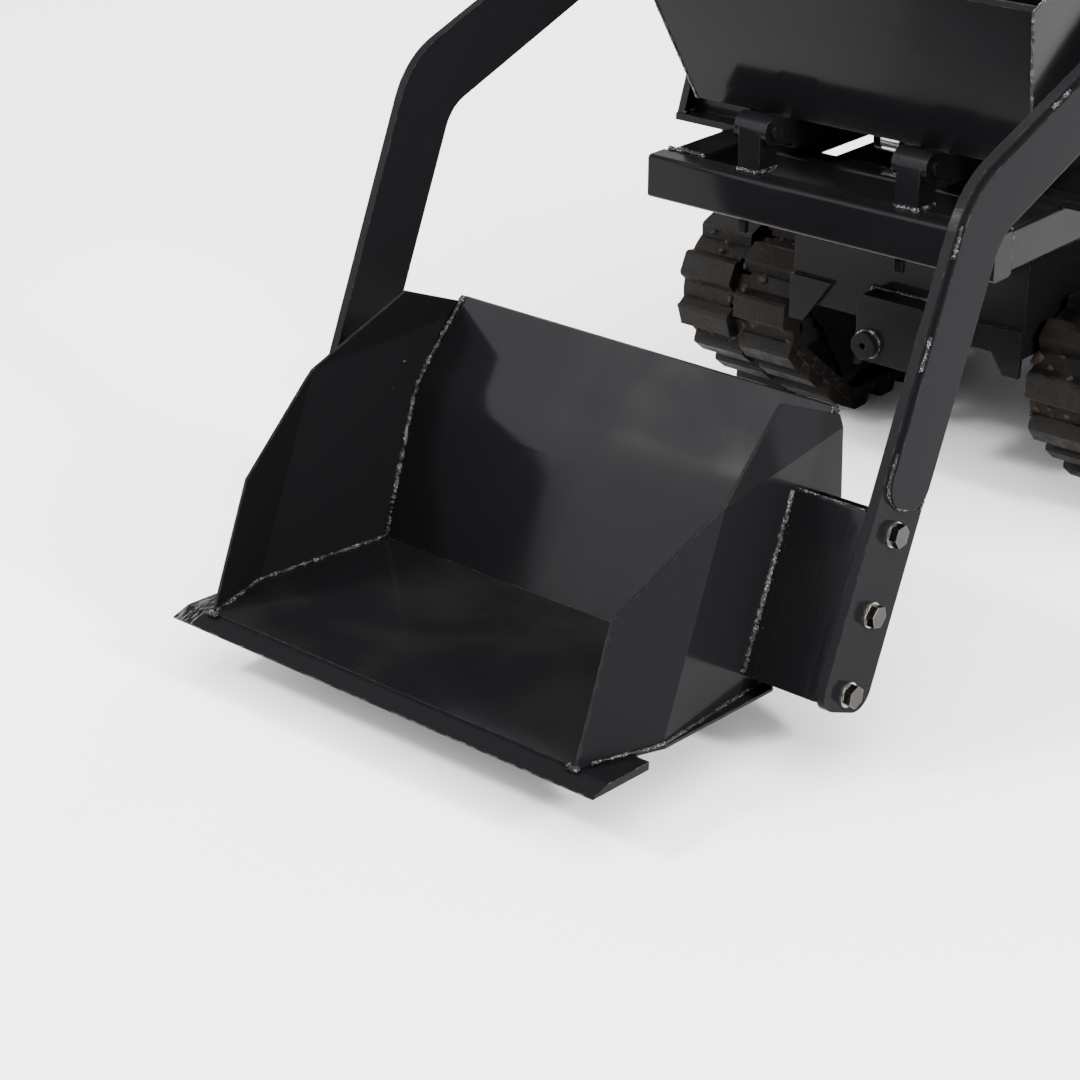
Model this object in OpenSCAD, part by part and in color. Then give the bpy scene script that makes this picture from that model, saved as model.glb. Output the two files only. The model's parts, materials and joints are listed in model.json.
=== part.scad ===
// Tracked power carrier with a self-loading front bucket.
// +Z is up, -Y is forward and +X is the machine's left side.
// The origin is on the ground, under the front track wheels.

/* [Bucket] */
// Width of the cutting edge
edge_w = 660; // [620:2:700]
// Depth of the cutting edge bar from front to back
edge_d = 96; // [80:1:120]
// Thickness of the cutting edge bar
edge_t = 10; // [8:0.5:12]
// Length of the bevel ground on top of the cutting edge
edge_bevel = 25; // [18:1:32]
// Sheet thickness of the bucket
sheet_t = 4; // [3:0.5:5]
// Width of the bucket at its mouth, measured on the floor
mouth_w = 574; // [540:2:600]
// Width of the bucket at the bends of its side plates
bend_w = 640; // [620:2:660]
// Width of the bucket at its heel
heel_w = 608; // [580:2:620]
// Distance from the cutting edge to the bends of the side plates
bend_y = 132; // [110:1:160]
// Distance from the cutting edge to the heel of the floor
heel_y = 340; // [320:1:360]
// Inward lean of the front part of the side plates, in degrees
side_lean = 6.7; // [3:0.1:9]
// Inward lean of the side plates' upper corners, in degrees
ear_lean = 16; // [8:0.5:20]
// Height of the bucket's back above the cutting edge
back_h = 313; // [290:1:330]
// Radius of the bend in the bucket's back
back_r = 150; // [80:5:180]
// Heel-down tilt at which the bucket is carried, in degrees
bucket_tilt = 2.8; // [0:0.1:5]

/* [Arms] */
// Width of the loader arms
arm_w = 98; // [90:1:106]
// Thickness of the arm plates
arm_t = 12; // [10:0.5:14]
// Thickness of the doubler plates
doubler_t = 6; // [4:0.5:8]
// Distance of the doubler's edge from the edge of the arm
doubler_inset = 8; // [5:0.5:14]
// Distance from the skip's side to the inner face of the arm
arm_side = 84; // [82:1:87]
// Length of the lower arm, from its end to the knee
arm_lower = 578; // [570:1:586]
// Length of the upper arm, from the knee to the pivot
arm_upper = 630; // [624:1:636]
// Lean of the lower arm, in degrees from upright
arm_lean = 23.3; // [22:0.1:24.5]
// Rise of the upper arm, in degrees from level
arm_rise = 20; // [19:0.1:21]
// Distance between neighbouring arm bolts
bolt_pitch = 94; // [88:1:98]
// Thread diameter of the arm bolts
bolt_d = 16; // [12:1:18]
// Height of the loader pivot above the ground
pivot_z = 832; // [826:1:840]
// Diameter of the loader pivot pins
pivot_d = 40; // [32:1:46]

/* [Lift cylinders] */
// Distance from the loader pivot to the rod pin
horn_r = 170; // [164:1:176]
// Distance from the loader pivot to the barrel pin
base_r = 600; // [592:1:608]
// Outer diameter of the lift cylinder barrels
barrel_d = 50; // [44:1:52]
// Diameter of the lift cylinder rods
rod_d = 28; // [22:1:32]
// Highest angle of the loader above its rest, in degrees
loader_max = 112; // [90:1:114]

/* [Deck] */
// Width of the deck frame
deck_w = 548; // [540:2:556]
// Height of the deck frame's underside above the ground
deck_z = 425; // [420:1:430]
// Height of the deck's box sections
deck_h = 60; // [56:1:64]
// Width of the side member's box section
member_w = 60; // [50:1:66]
// Depth of the front beam's box section
beam_d = 40; // [36:1:50]
// Wall of the deck's box sections
deck_wall = 4; // [3:0.5:5]
// Length of the deck from its front face
deck_l = 1240; // [1230:2:1250]

/* [Skip] */
// Width of the skip at its rim
skip_w = 650; // [630:2:656]
// Width of the skip's floor
skip_floor_w = 524; // [500:2:540]
// Height of the skip's walls
skip_h = 320; // [300:2:330]
// Length of the skip's floor
skip_l = 705; // [690:1:712]
// Sheet thickness of the skip
skip_t = 3; // [2.5:0.5:4]
// Highest tipping angle of the skip, in degrees
skip_max = 70; // [50:1:72]

/* [Tracks] */
// Width of each rubber track
track_w = 200; // [190:1:202]
// Distance between the centre lines of the two tracks
track_gauge = 596; // [592:1:600]
// Thickness of the rubber belt
belt_t = 18; // [14:0.5:20]
// Height of the tread lugs
lug_h = 18; // [12:0.5:20]
// Spacing of the tread lugs along the belt
lug_pitch = 72; // [68:0.5:80]
// Radius of the front wheel and the sprocket under the belt
wheel_r = 74; // [72:0.5:76]
// Height of the front wheel's axle
front_wheel_z = 195; // [190:1:200]
// Height of the sprocket's axle
sprocket_z = 165; // [160:1:170]
// Distance from the front wheel's axle to the sprocket's axle
wheelbase = 790; // [785:1:800]
// Radius of the bottom rollers
roller_r = 45; // [42:0.5:46]

/* [Rear] */
// Width of the engine hood
hood_w = 516; // [500:2:530]
// Length of the engine hood
hood_l = 366; // [350:2:370]
// Height of the engine hood
hood_h = 400; // [390:2:420]
// Height of the handlebar's grip above the ground
handle_z = 985; // [960:5:1020]
// Outer diameter of the handlebar's tube
handle_d = 32; // [26:1:36]

/* [Hidden] */
$fn = 64;
clear = 0.3;
fit_gap = 0.05;
nose_t = 1.5;

// Loader geometry in the Y-Z plane
pivot = [-29.4, pivot_z];
function on_circle(c, r, a) = c + r * [cos(a), sin(a)];
function turned(p, c, a) = [c[0] + (p[0] - c[0]) * cos(a) - (p[1] - c[1]) * sin(a),
    c[1] + (p[0] - c[0]) * sin(a) + (p[1] - c[1]) * cos(a)];
knee = pivot - arm_upper * [cos(arm_rise), sin(arm_rise)];
arm_end = knee - arm_lower * [sin(arm_lean), cos(arm_lean)];
knee_turn = 90 - arm_lean - arm_rise;
arm_in = skip_w / 2 + arm_side;
arm_out = arm_in + arm_t;
post_x = skip_w / 2 + 15;
post_t = 12;
hub_l = arm_in - post_x - post_t - 5;
bolt_end = 22;
bolt_hole_d = bolt_d + 1.5;
washer_t = 3;
washer_d = bolt_d * 1.9;
head_h = bolt_d * 0.625;
head_d = bolt_d * 1.73;
nut_h = bolt_d * 0.8;
hub_d = 68;
horn_end_r = 34;
horn_angle = -63;
base_angle = -35;
horn = on_circle(pivot, horn_r, horn_angle);
lift_base = on_circle(pivot, base_r, base_angle);
lift_x = arm_in - 29;
eye_w = 30;
eye_d = 48;
lift_pin_d = 22;
lift_rest = norm(horn - lift_base);
lift_open = norm(turned(horn, pivot, -loader_max) - lift_base);
loader_min = -4;
lift_shut = norm(turned(horn, pivot, -loader_min) - lift_base);
lift_tilt = atan2(horn[1] - lift_base[1], lift_base[0] - horn[0]);
barrel_l = lift_shut - eye_d / 2 - 8;
rod_l = lift_shut - 62;
gland_l = 20;
piston_w = 24;
barrel_wall = 4;
eye_neck = 8;

// Bucket geometry, with the origin under the tip of the cutting edge
tip = [arm_end[0] - 330, arm_end[1] - 1];
floor_z = edge_t;
floor_top = floor_z + sheet_t;
back_mid = [heel_y + 52, floor_top + 0.643 * (back_h - floor_top)];
back_top = [heel_y + 129, back_h];
side_top = [heel_y + 18, back_h + 32.5];
side_knee = [edge_bevel + 54.5, floor_top + 157];
side_flare = (bend_w - mouth_w) / 2 / (bend_y - edge_bevel);
side_taper = (bend_w - heel_w) / 2 / (heel_y - bend_y);
side_slope = tan(side_lean);
rear_slope = 0.022;
bend_top = [bend_y + 76, floor_top + 244];
ear_y = bend_y + 90;
ear_z = floor_top + 252.4;
ear_x = bend_w / 2 - side_taper * (ear_y - bend_y) + rear_slope * (ear_z - floor_top);
low_lean = atan2(back_mid[0] - heel_y, back_mid[1] - floor_top);
high_lean = atan2(back_top[0] - back_mid[0], back_top[1] - back_mid[1]);
low_step = sheet_t / cos(low_lean);
high_step = sheet_t / cos(high_lean);
// Centre of the bend in the back, and where the bend starts and ends
bend_run = back_r * tan((high_lean - low_lean) / 2);
bend_low = back_mid - bend_run * [sin(low_lean), cos(low_lean)];
bend_high = back_mid + bend_run * [sin(high_lean), cos(high_lean)];
bend_c = bend_low + back_r * [cos(low_lean), -sin(low_lean)];
side_back = back_top + [high_step, 0] - 7 * [tan(high_lean), 1];
side_wing = [heel_y + 144, floor_top + 186];
floor_lip = 4;
slab = 900;

// Bracket between the bucket and the arm
bracket_wall = 6;
bracket_d = 84;
bracket_foot = 8;
bracket_l = 220;
bracket_front = -arm_w / 2 + 4;
bracket_x = 280;

// Deck and chassis
deck_front = -340;
deck_top = deck_z + deck_h;
deck_back = deck_front + deck_l;
member_x = deck_w / 2 - 4 - member_w;
corner_r = 6;
chassis_x = 190;
chassis_t = 10;
chassis_z = 235;
nose_w = 110;
nose_z = 188;
nose_h = 96;
nose_front = -142;
chassis_back = 760;
tube_s = 60;
tube_front = 215;
tube_back = 560;
frame_x = track_gauge / 2;
frame_half = 90;
frame_plate = 8;

// Track geometry
belt_in = belt_t + lug_h;
front_wheel = [0, front_wheel_z];
sprocket_c = [wheelbase, sprocket_z];
roller_z = belt_in + roller_r;
roller_first = 95;
roller_count = 4;
roller_last = wheelbase - 140;
roller_step = (roller_last - roller_first) / (roller_count - 1);
loop_c = [front_wheel, [roller_first, roller_z], [roller_last, roller_z], sprocket_c];
loop_r = [wheel_r, roller_r, roller_r, wheel_r];
guide_h = 18;
guide_x0 = 20;
guide_w = 16;
slot_half = 13;
tooth_count = 7;

// Skip
skip_z = deck_top + 63;
skip_front = deck_front + 90;
skip_back = skip_front + skip_l;
skip_hinge = [-295, deck_top + 55];
upright_x = 107;
upright_w = 35;
ram_base = [220, 325];
ram_top = [-150, 517];
ram_rest = norm(ram_top - ram_base);
ram_open = norm(turned(ram_top, skip_hinge, skip_max) - ram_base);
ram_tilt = atan2(ram_top[1] - ram_base[1], ram_base[0] - ram_top[0]);
ram_barrel_l = ram_rest - 30;
ram_rod_l = ram_rest - 66;

// Rear
hood_front = 525;
hood_back = hood_front + hood_l;
plate_t = 4;
engine_z = deck_top + plate_t;
hood_t = 2;
hood_top = engine_z + hood_h;
console_w = 400;
console_d = 110;
console_z = 690;
console_y = hood_back + 3;
console_top = 940;
handle_back = 1164;

// Placing and drawing helpers
module mirrored(s) {
    if (s > 0) children();
    else mirror([1, 0, 0]) children();
}
module both() {
    children();
    mirror([1, 0, 0]) children();
}
// Outline drawn in Y and Z, extruded along X from x
module side(x, t) {
    translate([x, 0, 0]) rotate([90, 0, 90]) linear_extrude(t) children();
}
// Outline drawn in X and Z, extruded along Y from y
module front(y, t) {
    translate([0, y + t, 0]) rotate([90, 0, 0]) linear_extrude(t) children();
}
module rounded(w, h, r) {
    square([w - 2 * r, h], center = true);
    square([w, h - 2 * r], center = true);
    for (x = [-1, 1], z = [-1, 1])
        translate([x * (w / 2 - r), z * (h / 2 - r)]) circle(r);
}
module section(w, h, t, r) {
    difference() {
        rounded(w, h, r);
        rounded(w - 2 * t, h - 2 * t, max(r - t, 1));
    }
}
module box_along_x(x0, x1, y, z, d, h, t) {
    side(x0, x1 - x0) translate([y + d / 2, z + h / 2]) section(d, h, t, corner_r);
}
module box_along_y(x, y0, y1, z, w, h, t) {
    front(y0, y1 - y0) translate([x + w / 2, z + h / 2]) section(w, h, t, corner_r);
}
// Cylinder along X through a point in the Y-Z plane
module pin(p, x0, x1, d) {
    translate([x0, p[0], p[1]]) rotate([0, 90, 0]) cylinder(d = d, h = x1 - x0);
}
// Straight tangents on both sides of two circles, as points
function tangent_n(p, rp, q, rq) = let (d = q - p, l = norm(d), k = (rp - rq) / l)
    [k * d[0] / l + sqrt(1 - k * k) * d[1] / l, k * d[1] / l - sqrt(1 - k * k) * d[0] / l];
function tangent_m(p, rp, q, rq) = let (d = q - p, l = norm(d), k = (rp - rq) / l)
    [k * d[0] / l - sqrt(1 - k * k) * d[1] / l, k * d[1] / l + sqrt(1 - k * k) * d[0] / l];
module link(p, rp, q, rq) {
    n = tangent_n(p, rp, q, rq);
    m = tangent_m(p, rp, q, rq);
    translate(p) circle(rp);
    translate(q) circle(rq);
    polygon([p + rp * n, q + rq * n, q + rq * m, p + rp * m]);
}
// Round bar through a list of points, with ball corners
module pipe(points, d) {
    for (i = [0 : len(points) - 2]) {
        v = points[i + 1] - points[i];
        translate(points[i]) rotate([0, acos(v[2] / norm(v)), atan2(v[1], v[0])])
            cylinder(d = d, h = norm(v));
    }
    for (i = [1 : len(points) - 2])
        translate(points[i]) sphere(d = d);
}
// Round bar along points in the X-Y plane, with bends of radius r
function turn_at(p, i) = let (u = p[i] - p[i - 1], v = p[i + 1] - p[i])
    atan2(u[0] * v[1] - u[1] * v[0], u * v);
function cut_at(p, i, r) = i == 0 || i == len(p) - 1 ? 0 : r * tan(abs(turn_at(p, i)) / 2);
module bent_pipe(p, d, r) {
    for (i = [0 : len(p) - 2]) {
        v = (p[i + 1] - p[i]) / norm(p[i + 1] - p[i]);
        union() {
            translate(p[i] + cut_at(p, i, r) * v) rotate([0, 90, atan2(v[1], v[0])])
                cylinder(d = d, h = norm(p[i + 1] - p[i]) - cut_at(p, i, r) - cut_at(p, i + 1, r));
            if (i > 0) bend_pipe(p, i, d, r);
        }
    }
}
module bend_pipe(p, i, d, r) {
    u = (p[i] - p[i - 1]) / norm(p[i] - p[i - 1]);
    a = turn_at(p, i);
    inward = sign(a) * [-u[1], u[0]];
    translate(p[i] - cut_at(p, i, r) * u + r * inward)
        rotate(atan2(-inward[1], -inward[0]) + min(a, 0))
            rotate_extrude(angle = abs(a)) translate([r, 0]) circle(d = d);
}

// Bucket
module in_bucket() {
    translate([0, tip[0], tip[1]]) rotate([-bucket_tilt, 0, 0]) children();
}
// Slab between two distances from a leaning plane, measured along X
module leaning_slab(x, y, z, flare, slope, from, to) {
    n = norm([1, flare, slope]);
    translate([x, y, z]) rotate([0, asin(slope / n), -atan(flare)])
        translate([from / n, -slab, -slab]) cube([(to - from) / n, 2 * slab, 2 * slab]);
}
module front_side_plane(from, to) {
    leaning_slab(bend_w / 2, bend_y, floor_top, side_flare, -side_slope, from, to);
}
module rear_side_plane(from, to) {
    leaning_slab(bend_w / 2, bend_y, floor_top, -side_taper, rear_slope, from, to);
}
module upper_side_plane(from, to) {
    leaning_slab(ear_x, ear_y, ear_z, -0.6 * side_taper, -tan(ear_lean), from, to);
}
// Point on the rear face of the back, behind p where the back leans by a
function bend_out(a, p) = p + sheet_t * [cos(a), -sin(a)];
module cutting_edge() {
    color("#1b1c1e") in_bucket() side(-edge_w / 2, edge_w)
        polygon([[0, 0], [edge_d, 0], [edge_d, edge_t], [edge_bevel, edge_t], [0, nose_t]]);
}
// Floor and back, folded from one sheet
module bucket_shell() {
    w = bend_w / 2 + floor_lip;
    h = heel_y + low_step;
    color("#1b1c1e") in_bucket() {
        translate([0, 0, floor_z]) linear_extrude(sheet_t)
            polygon([[-mouth_w / 2, edge_bevel], [mouth_w / 2, edge_bevel], [w, bend_y],
                [w, h - 12], [w - 12, h], [12 - w, h], [-w, h - 12], [-w, bend_y]]);
        difference() {
            side(-heel_w / 2 - 2, heel_w + 4) difference() {
                polygon([[heel_y, floor_top], back_mid, back_top, back_top + [high_step, 0],
                    bend_out(high_lean, bend_high), bend_out(low_lean, bend_low), [h, floor_top],
                    [h, floor_z + 1], [heel_y, floor_z + 1]]);
                translate(bend_c) circle(back_r - sheet_t);
                difference() {
                    polygon([bend_low, bend_low + 20 * [-cos(low_lean), sin(low_lean)],
                        bend_high + 20 * [-cos(high_lean), sin(high_lean)], bend_high]);
                    translate(bend_c) circle(back_r);
                }
            }
            both() rear_side_plane(-sheet_t, 100);
            both() upper_side_plane(-sheet_t, 100);
        }
    }
}
module bucket_side(s) {
    color("#1b1c1e") in_bucket() mirrored(s) difference() {
        intersection() {
            side(0, slab) polygon([[edge_bevel, floor_top], [heel_y + low_step, floor_top],
                side_wing, side_back, side_top, bend_top, side_knee]);
            front_side_plane(-slab, 0);
            rear_side_plane(-slab, 0);
            upper_side_plane(-slab, 0);
        }
        intersection() {
            front_side_plane(-slab, -sheet_t);
            rear_side_plane(-slab, -sheet_t);
            upper_side_plane(-slab, -sheet_t);
        }
    }
}
module bucket_side_left() { bucket_side(1); }
module bucket_side_right() { bucket_side(-1); }

// Loader arms
module in_arm() {
    translate([0, arm_end[0], arm_end[1]]) rotate([-arm_lean, 0, 0]) children();
}
function bolt_v(i) = bolt_end + i * bolt_pitch;
module bucket_bracket(s) {
    color("#1b1c1e") mirrored(s) difference() {
        in_arm() difference() {
            translate([bracket_x, bracket_front, bracket_foot])
                cube([arm_in - bracket_x, bracket_d, bracket_l]);
            translate([0, bracket_front + bracket_wall, bracket_foot - 1])
                cube([arm_in - bracket_wall, bracket_d - 2 * bracket_wall, bracket_l + 2]);
            for (i = [0 : 2])
                pin([0, bolt_v(i)], arm_in - 2 * bracket_wall, arm_in + 1, bolt_hole_d);
        }
        in_bucket() rear_side_plane(-slab, 0);
    }
}
module bucket_bracket_left() { bucket_bracket(1); }
module bucket_bracket_right() { bucket_bracket(-1); }
// Bent flat bar from v0 above the arm's end to l beyond the knee
module bent_bar(w, v0, l, r_end, r_out, r_in) {
    t = tan(knee_turn / 2);
    h = w / 2;
    out_c = [-h + r_out, arm_lower - (r_out - h) * t];
    in_c = [h + r_in, arm_lower - (h + r_in) * t];
    translate(arm_end) rotate(-arm_lean) {
        for (x = [-1, 1])
            translate([x * (h - r_end), v0 + r_end]) circle(r_end);
        translate([-h, v0 + r_end]) square([w, in_c[1] - v0 - r_end]);
        translate([r_end - h, v0]) square([w - 2 * r_end, r_end]);
        difference() {
            polygon([[-h, in_c[1]], [-h, out_c[1]], [-h, arm_lower + h * t],
                upper_point(-h, (h + r_in) * t), upper_point(h, (h + r_in) * t), [h, in_c[1]]]);
            translate(in_c) circle(r_in);
            difference() {
                polygon([[-h - 1, out_c[1]], [-h - 1, arm_lower + h * t + 1],
                    upper_point(-h - 1, (r_out - h) * t), out_c, [-h - 1, out_c[1]] + [r_out, 0]]);
                translate(out_c) circle(r_out);
            }
        }
        translate([0, arm_lower]) rotate(-knee_turn) {
            translate([-h, (h + r_in) * t]) square([w, l - (h + r_in) * t - r_end]);
            translate([r_end - h, l - r_end]) square([w - 2 * r_end, r_end]);
            for (x = [-1, 1])
                translate([x * (h - r_end), l - r_end]) circle(r_end);
        }
    }
}
// Point of the upper arm, across and along it, in the lower arm's frame
function upper_point(x, y) = [x * cos(knee_turn) + y * sin(knee_turn),
    arm_lower - x * sin(knee_turn) + y * cos(knee_turn)];
module arm(s) {
    color("#1b1c1e") mirrored(s) difference() {
        union() {
            side(arm_in, arm_t) {
                bent_bar(arm_w, 0, arm_upper, 28, 120, 60);
                link(pivot, 60, horn, horn_end_r);
            }
            pin(pivot, arm_in - hub_l, arm_in, hub_d);
        }
        pin(pivot, arm_in - hub_l - 8, arm_out + 1, pivot_d + 2 * fit_gap);
        in_arm() for (i = [0 : 2])
            pin([0, bolt_v(i)], arm_in - 1, arm_out + 1, bolt_hole_d);
    }
}
module arm_left() { arm(1); }
module arm_right() { arm(-1); }
module arm_doublers() {
    color("#1b1c1e") both() side(arm_out, doubler_t)
        bent_bar(arm_w - 2 * doubler_inset, bolt_v(2) + 30, arm_upper - 90, 30,
            120 - doubler_inset, 60 + doubler_inset);
}
module arm_bolts() {
    nut_x = arm_in - bracket_wall - washer_t;
    color("#8d8c88") both() in_arm() for (i = [0 : 2]) {
        pin([0, bolt_v(i)], arm_out, arm_out + washer_t, washer_d);
        translate([arm_out + washer_t, 0, bolt_v(i)]) rotate([0, 90, 0]) rotate(14 + 23 * i)
            cylinder(d = head_d, h = head_h, $fn = 6);
        pin([0, bolt_v(i)], nut_x - nut_h - 4, arm_out, bolt_d);
        difference() {
            union() {
                pin([0, bolt_v(i)], nut_x, nut_x + washer_t, washer_d);
                translate([nut_x - nut_h, 0, bolt_v(i)]) rotate([0, 90, 0])
                    cylinder(d = head_d, h = nut_h, $fn = 6);
            }
            pin([0, bolt_v(i)], nut_x - nut_h - 1, nut_x + washer_t + 1, bolt_d + 2 * fit_gap);
        }
    }
}
module loader_pins() {
    color("#3c3d3f") both() {
        pin(pivot, post_x - 8, arm_out + clear, pivot_d);
        pin(pivot, arm_out + clear, arm_out + clear + 5, 58);
        translate([arm_out + clear + 5, pivot[0], pivot[1]]) rotate([0, 90, 0])
            cylinder(d = 20, h = 7, $fn = 6);
    }
}
module loader_posts() {
    color("#1b1c1e") both() difference() {
        union() {
            side(post_x, post_t) {
                link(pivot, 54, [pivot[0], pivot[1] - 120], 70);
                polygon([[-180, deck_top], [140, deck_top], [pivot[0] + 70, pivot[1] - 120],
                    [pivot[0] - 70, pivot[1] - 120]]);
            }
            translate([member_x, -180, deck_top]) cube([post_x + post_t - member_x, 320, 10]);
            for (y = [-150, 100])
                front(y, 8) polygon([[member_x + 20, deck_top + 10], [post_x, deck_top + 10],
                    [post_x, deck_top + 130], [post_x - 12, deck_top + 130]]);
            pin(pivot, post_x + post_t, arm_in - hub_l - clear, 62);
        }
        pin(pivot, post_x - 20, arm_in, pivot_d + 2 * fit_gap);
    }
}

// Lift cylinders, drawn along their own axis from the barrel pin
module on_lift(s) {
    mirrored(s) translate([lift_x, lift_base[0], lift_base[1]]) rotate([90 - lift_tilt, 0, 0])
        children();
}
module eye(d, w, bore) {
    translate([-w / 2, 0, 0]) rotate([0, 90, 0]) difference() {
        cylinder(d = d, h = w);
        if (bore > 0) translate([0, 0, -1]) cylinder(d = bore, h = w + 2);
    }
}
module cylinder_barrel(l, d, eye_size, rod, bore_pin) {
    difference() {
        union() {
            cylinder(d = d, h = l);
            translate([0, 0, l - gland_l]) cylinder(d = d + 6, h = gland_l - 4);
            for (z = [eye_size / 2 + 26, l - gland_l - 26])
                translate([0, 0, z]) rotate([-90, 0, 0]) cylinder(d = 20, h = d / 2 + 12);
            rotate([0, 90, 0]) translate([0, 0, -eye_w / 2]) cylinder(d = eye_size, h = eye_w);
        }
        translate([-d, -d, -d]) cube([d - eye_w / 2, 2 * d, d + eye_size / 2 + eye_neck]);
        translate([eye_w / 2, -d, -d]) cube([d - eye_w / 2, 2 * d, d + eye_size / 2 + eye_neck]);
        rotate([0, 90, 0]) translate([0, 0, -d]) cylinder(d = bore_pin + 2 * fit_gap, h = 2 * d);
        translate([0, 0, eye_size / 2 + 12])
            cylinder(d = d - 2 * barrel_wall, h = l - gland_l - eye_size / 2 - 12);
        translate([0, 0, l - gland_l - 1]) cylinder(d = rod + 2 * fit_gap, h = gland_l + 2);
    }
}
module cylinder_rod(reach, l, d, barrel, eye_size, pin_size, pin_x0, pin_x1) {
    translate([0, 0, reach]) {
        eye(eye_size, eye_w, 0);
        translate([0, 0, -l + piston_w]) cylinder(d = d, h = l - piston_w - eye_size / 3);
        translate([0, 0, -l]) cylinder(d = barrel - 2 * barrel_wall - 2 * fit_gap, h = piston_w);
        rotate([0, 90, 0]) translate([0, 0, pin_x0]) cylinder(d = pin_size, h = pin_x1 - pin_x0);
    }
}
module lift_barrel(s) {
    color("#161719") on_lift(s) cylinder_barrel(barrel_l, barrel_d, eye_d, rod_d, lift_pin_d);
}
module lift_rod(s) {
    color("#c4c6c8") on_lift(s) cylinder_rod(lift_rest, rod_l, rod_d, barrel_d, eye_d - 4, lift_pin_d,
        -eye_w / 2 - 8, arm_in - lift_x - 2 * clear);
}
module lift_barrel_left() { lift_barrel(1); }
module lift_barrel_right() { lift_barrel(-1); }
module lift_rod_left() { lift_rod(1); }
module lift_rod_right() { lift_rod(-1); }
module lift_base_brackets() {
    ear_t = 8;
    ear_x = eye_w / 2 + clear;
    foot_z = deck_z + 2;
    foot_t = 12;
    x0 = deck_w / 2 - 4;
    color("#1b1c1e") both() {
        for (x = [lift_x - ear_x - ear_t, lift_x + ear_x])
            side(x, ear_t) {
                translate(lift_base) circle(28);
                polygon([lift_base - [28, 0], [lift_base[0] - 44, foot_z], [lift_base[0] + 44, foot_z],
                    lift_base + [28, 0]]);
            }
        translate([x0, lift_base[0] - 60, foot_z])
            cube([lift_x + ear_x + ear_t - x0, 120, foot_t]);
        for (y = [-60, 52])
            front(lift_base[0] + y, 8) polygon([[x0, foot_z + foot_t], [x0, deck_top - 8],
                [lift_x - ear_x - ear_t, foot_z + foot_t]]);
        pin(lift_base, lift_x - ear_x - ear_t - 4, lift_x + ear_x + ear_t + 4, lift_pin_d);
    }
}

// Deck
module deck_frame() {
    color("#1b1c1e") {
        box_along_x(-deck_w / 2, deck_w / 2, deck_front, deck_z, beam_d, deck_h, deck_wall);
        both() {
            translate([deck_w / 2 - deck_wall, deck_front + 2, deck_z + 2])
                cube([deck_wall, beam_d - 4, deck_h - 4]);
            box_along_y(member_x, deck_front + beam_d, deck_back, deck_z, member_w, deck_h, deck_wall);
            translate([upright_x + upright_w / 2 - 6, deck_front + 14, deck_z - 22]) cube([12, 8, 22]);
        }
        for (y = [skip_hinge[0] + 80, 300, 700])
            box_along_x(-member_x, member_x, y, deck_z, beam_d, deck_h, deck_wall);
        box_along_x(-member_x, member_x, deck_back - beam_d, deck_z, beam_d, deck_h, deck_wall);
        translate([-deck_w / 2 + 4, hood_front - 5, deck_top])
            cube([deck_w - 8, deck_back - hood_front + 5, plate_t]);
    }
}
module chassis_frame() {
    color("#1b1c1e") difference() {
        union() {
            front(nose_front, chassis_back - nose_front) translate([0, nose_z + nose_h / 2])
                section(nose_w, nose_h, 6, 10);
            translate([-nose_w / 2 + 6, nose_front, nose_z + 6]) cube([nose_w - 12, 6, nose_h - 12]);
            for (y = [-105, chassis_back - chassis_t])
                front(y, chassis_t) difference() {
                    translate([-chassis_x, chassis_z]) square([2 * chassis_x, deck_z - chassis_z]);
                    translate([0, nose_z + nose_h / 2]) rounded(nose_w - 12, nose_h - 12, 4);
                }
            both() side(chassis_x - chassis_t, chassis_t) difference() {
                union() {
                    translate([-105, chassis_z]) square([chassis_back + 105, deck_z - chassis_z]);
                    link(sprocket_c, 64, sprocket_c + [-40, 130], 110);
                }
                for (y = [60, 420])
                    translate([y, chassis_z + 35]) square([220, 110]);
                translate(sprocket_c) circle(d = 82);
            }
            pin_boss();
            both() front(-113, 8) polygon([[chassis_x - 70, chassis_z + 40], [chassis_x, chassis_z + 40],
                [chassis_x, chassis_z - 26], [chassis_x - 24, chassis_z - 26]]);
            for (x = [-eye_w / 2 - clear - 12, eye_w / 2 + clear])
                side(x, 12) link(ram_base, 26, ram_base + [0, -24], 26);
            translate([-nose_w / 2 + 6, chassis_back - 6, nose_z + 6]) cube([nose_w - 12, 6, nose_h - 12]);
            tow_lug();
        }
        pin(ram_base, -40, 40, lift_pin_d + 2 * fit_gap);
        nose_bore();
    }
}
boss_p = [-34, 214];
boss_d = 38;
boss_l = 14;
module pin_boss() {
    translate([boss_p[0], nose_front, boss_p[1]]) rotate([90, 0, 0]) cylinder(d = boss_d, h = boss_l);
}
module nose_bore() {
    translate([boss_p[0], nose_front + 7, boss_p[1]]) rotate([90, 0, 0])
        cylinder(d = 10, h = boss_l + 8);
    translate([0, chassis_back + 62, nose_z - 1]) cylinder(d = 22, h = nose_h);
}
module tow_lug() {
    translate([-35, chassis_back - 1, nose_z + 30]) cube([70, 60, 16]);
    translate([0, chassis_back + 59, nose_z + 30]) cylinder(d = 70, h = 16);
}
module cross_tubes() {
    l = frame_x - frame_half;
    color("#1b1c1e") for (y = [tube_front, tube_back])
        box_along_x(-l, l, y, nose_z - tube_s, tube_s, tube_s, 5);
}

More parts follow.
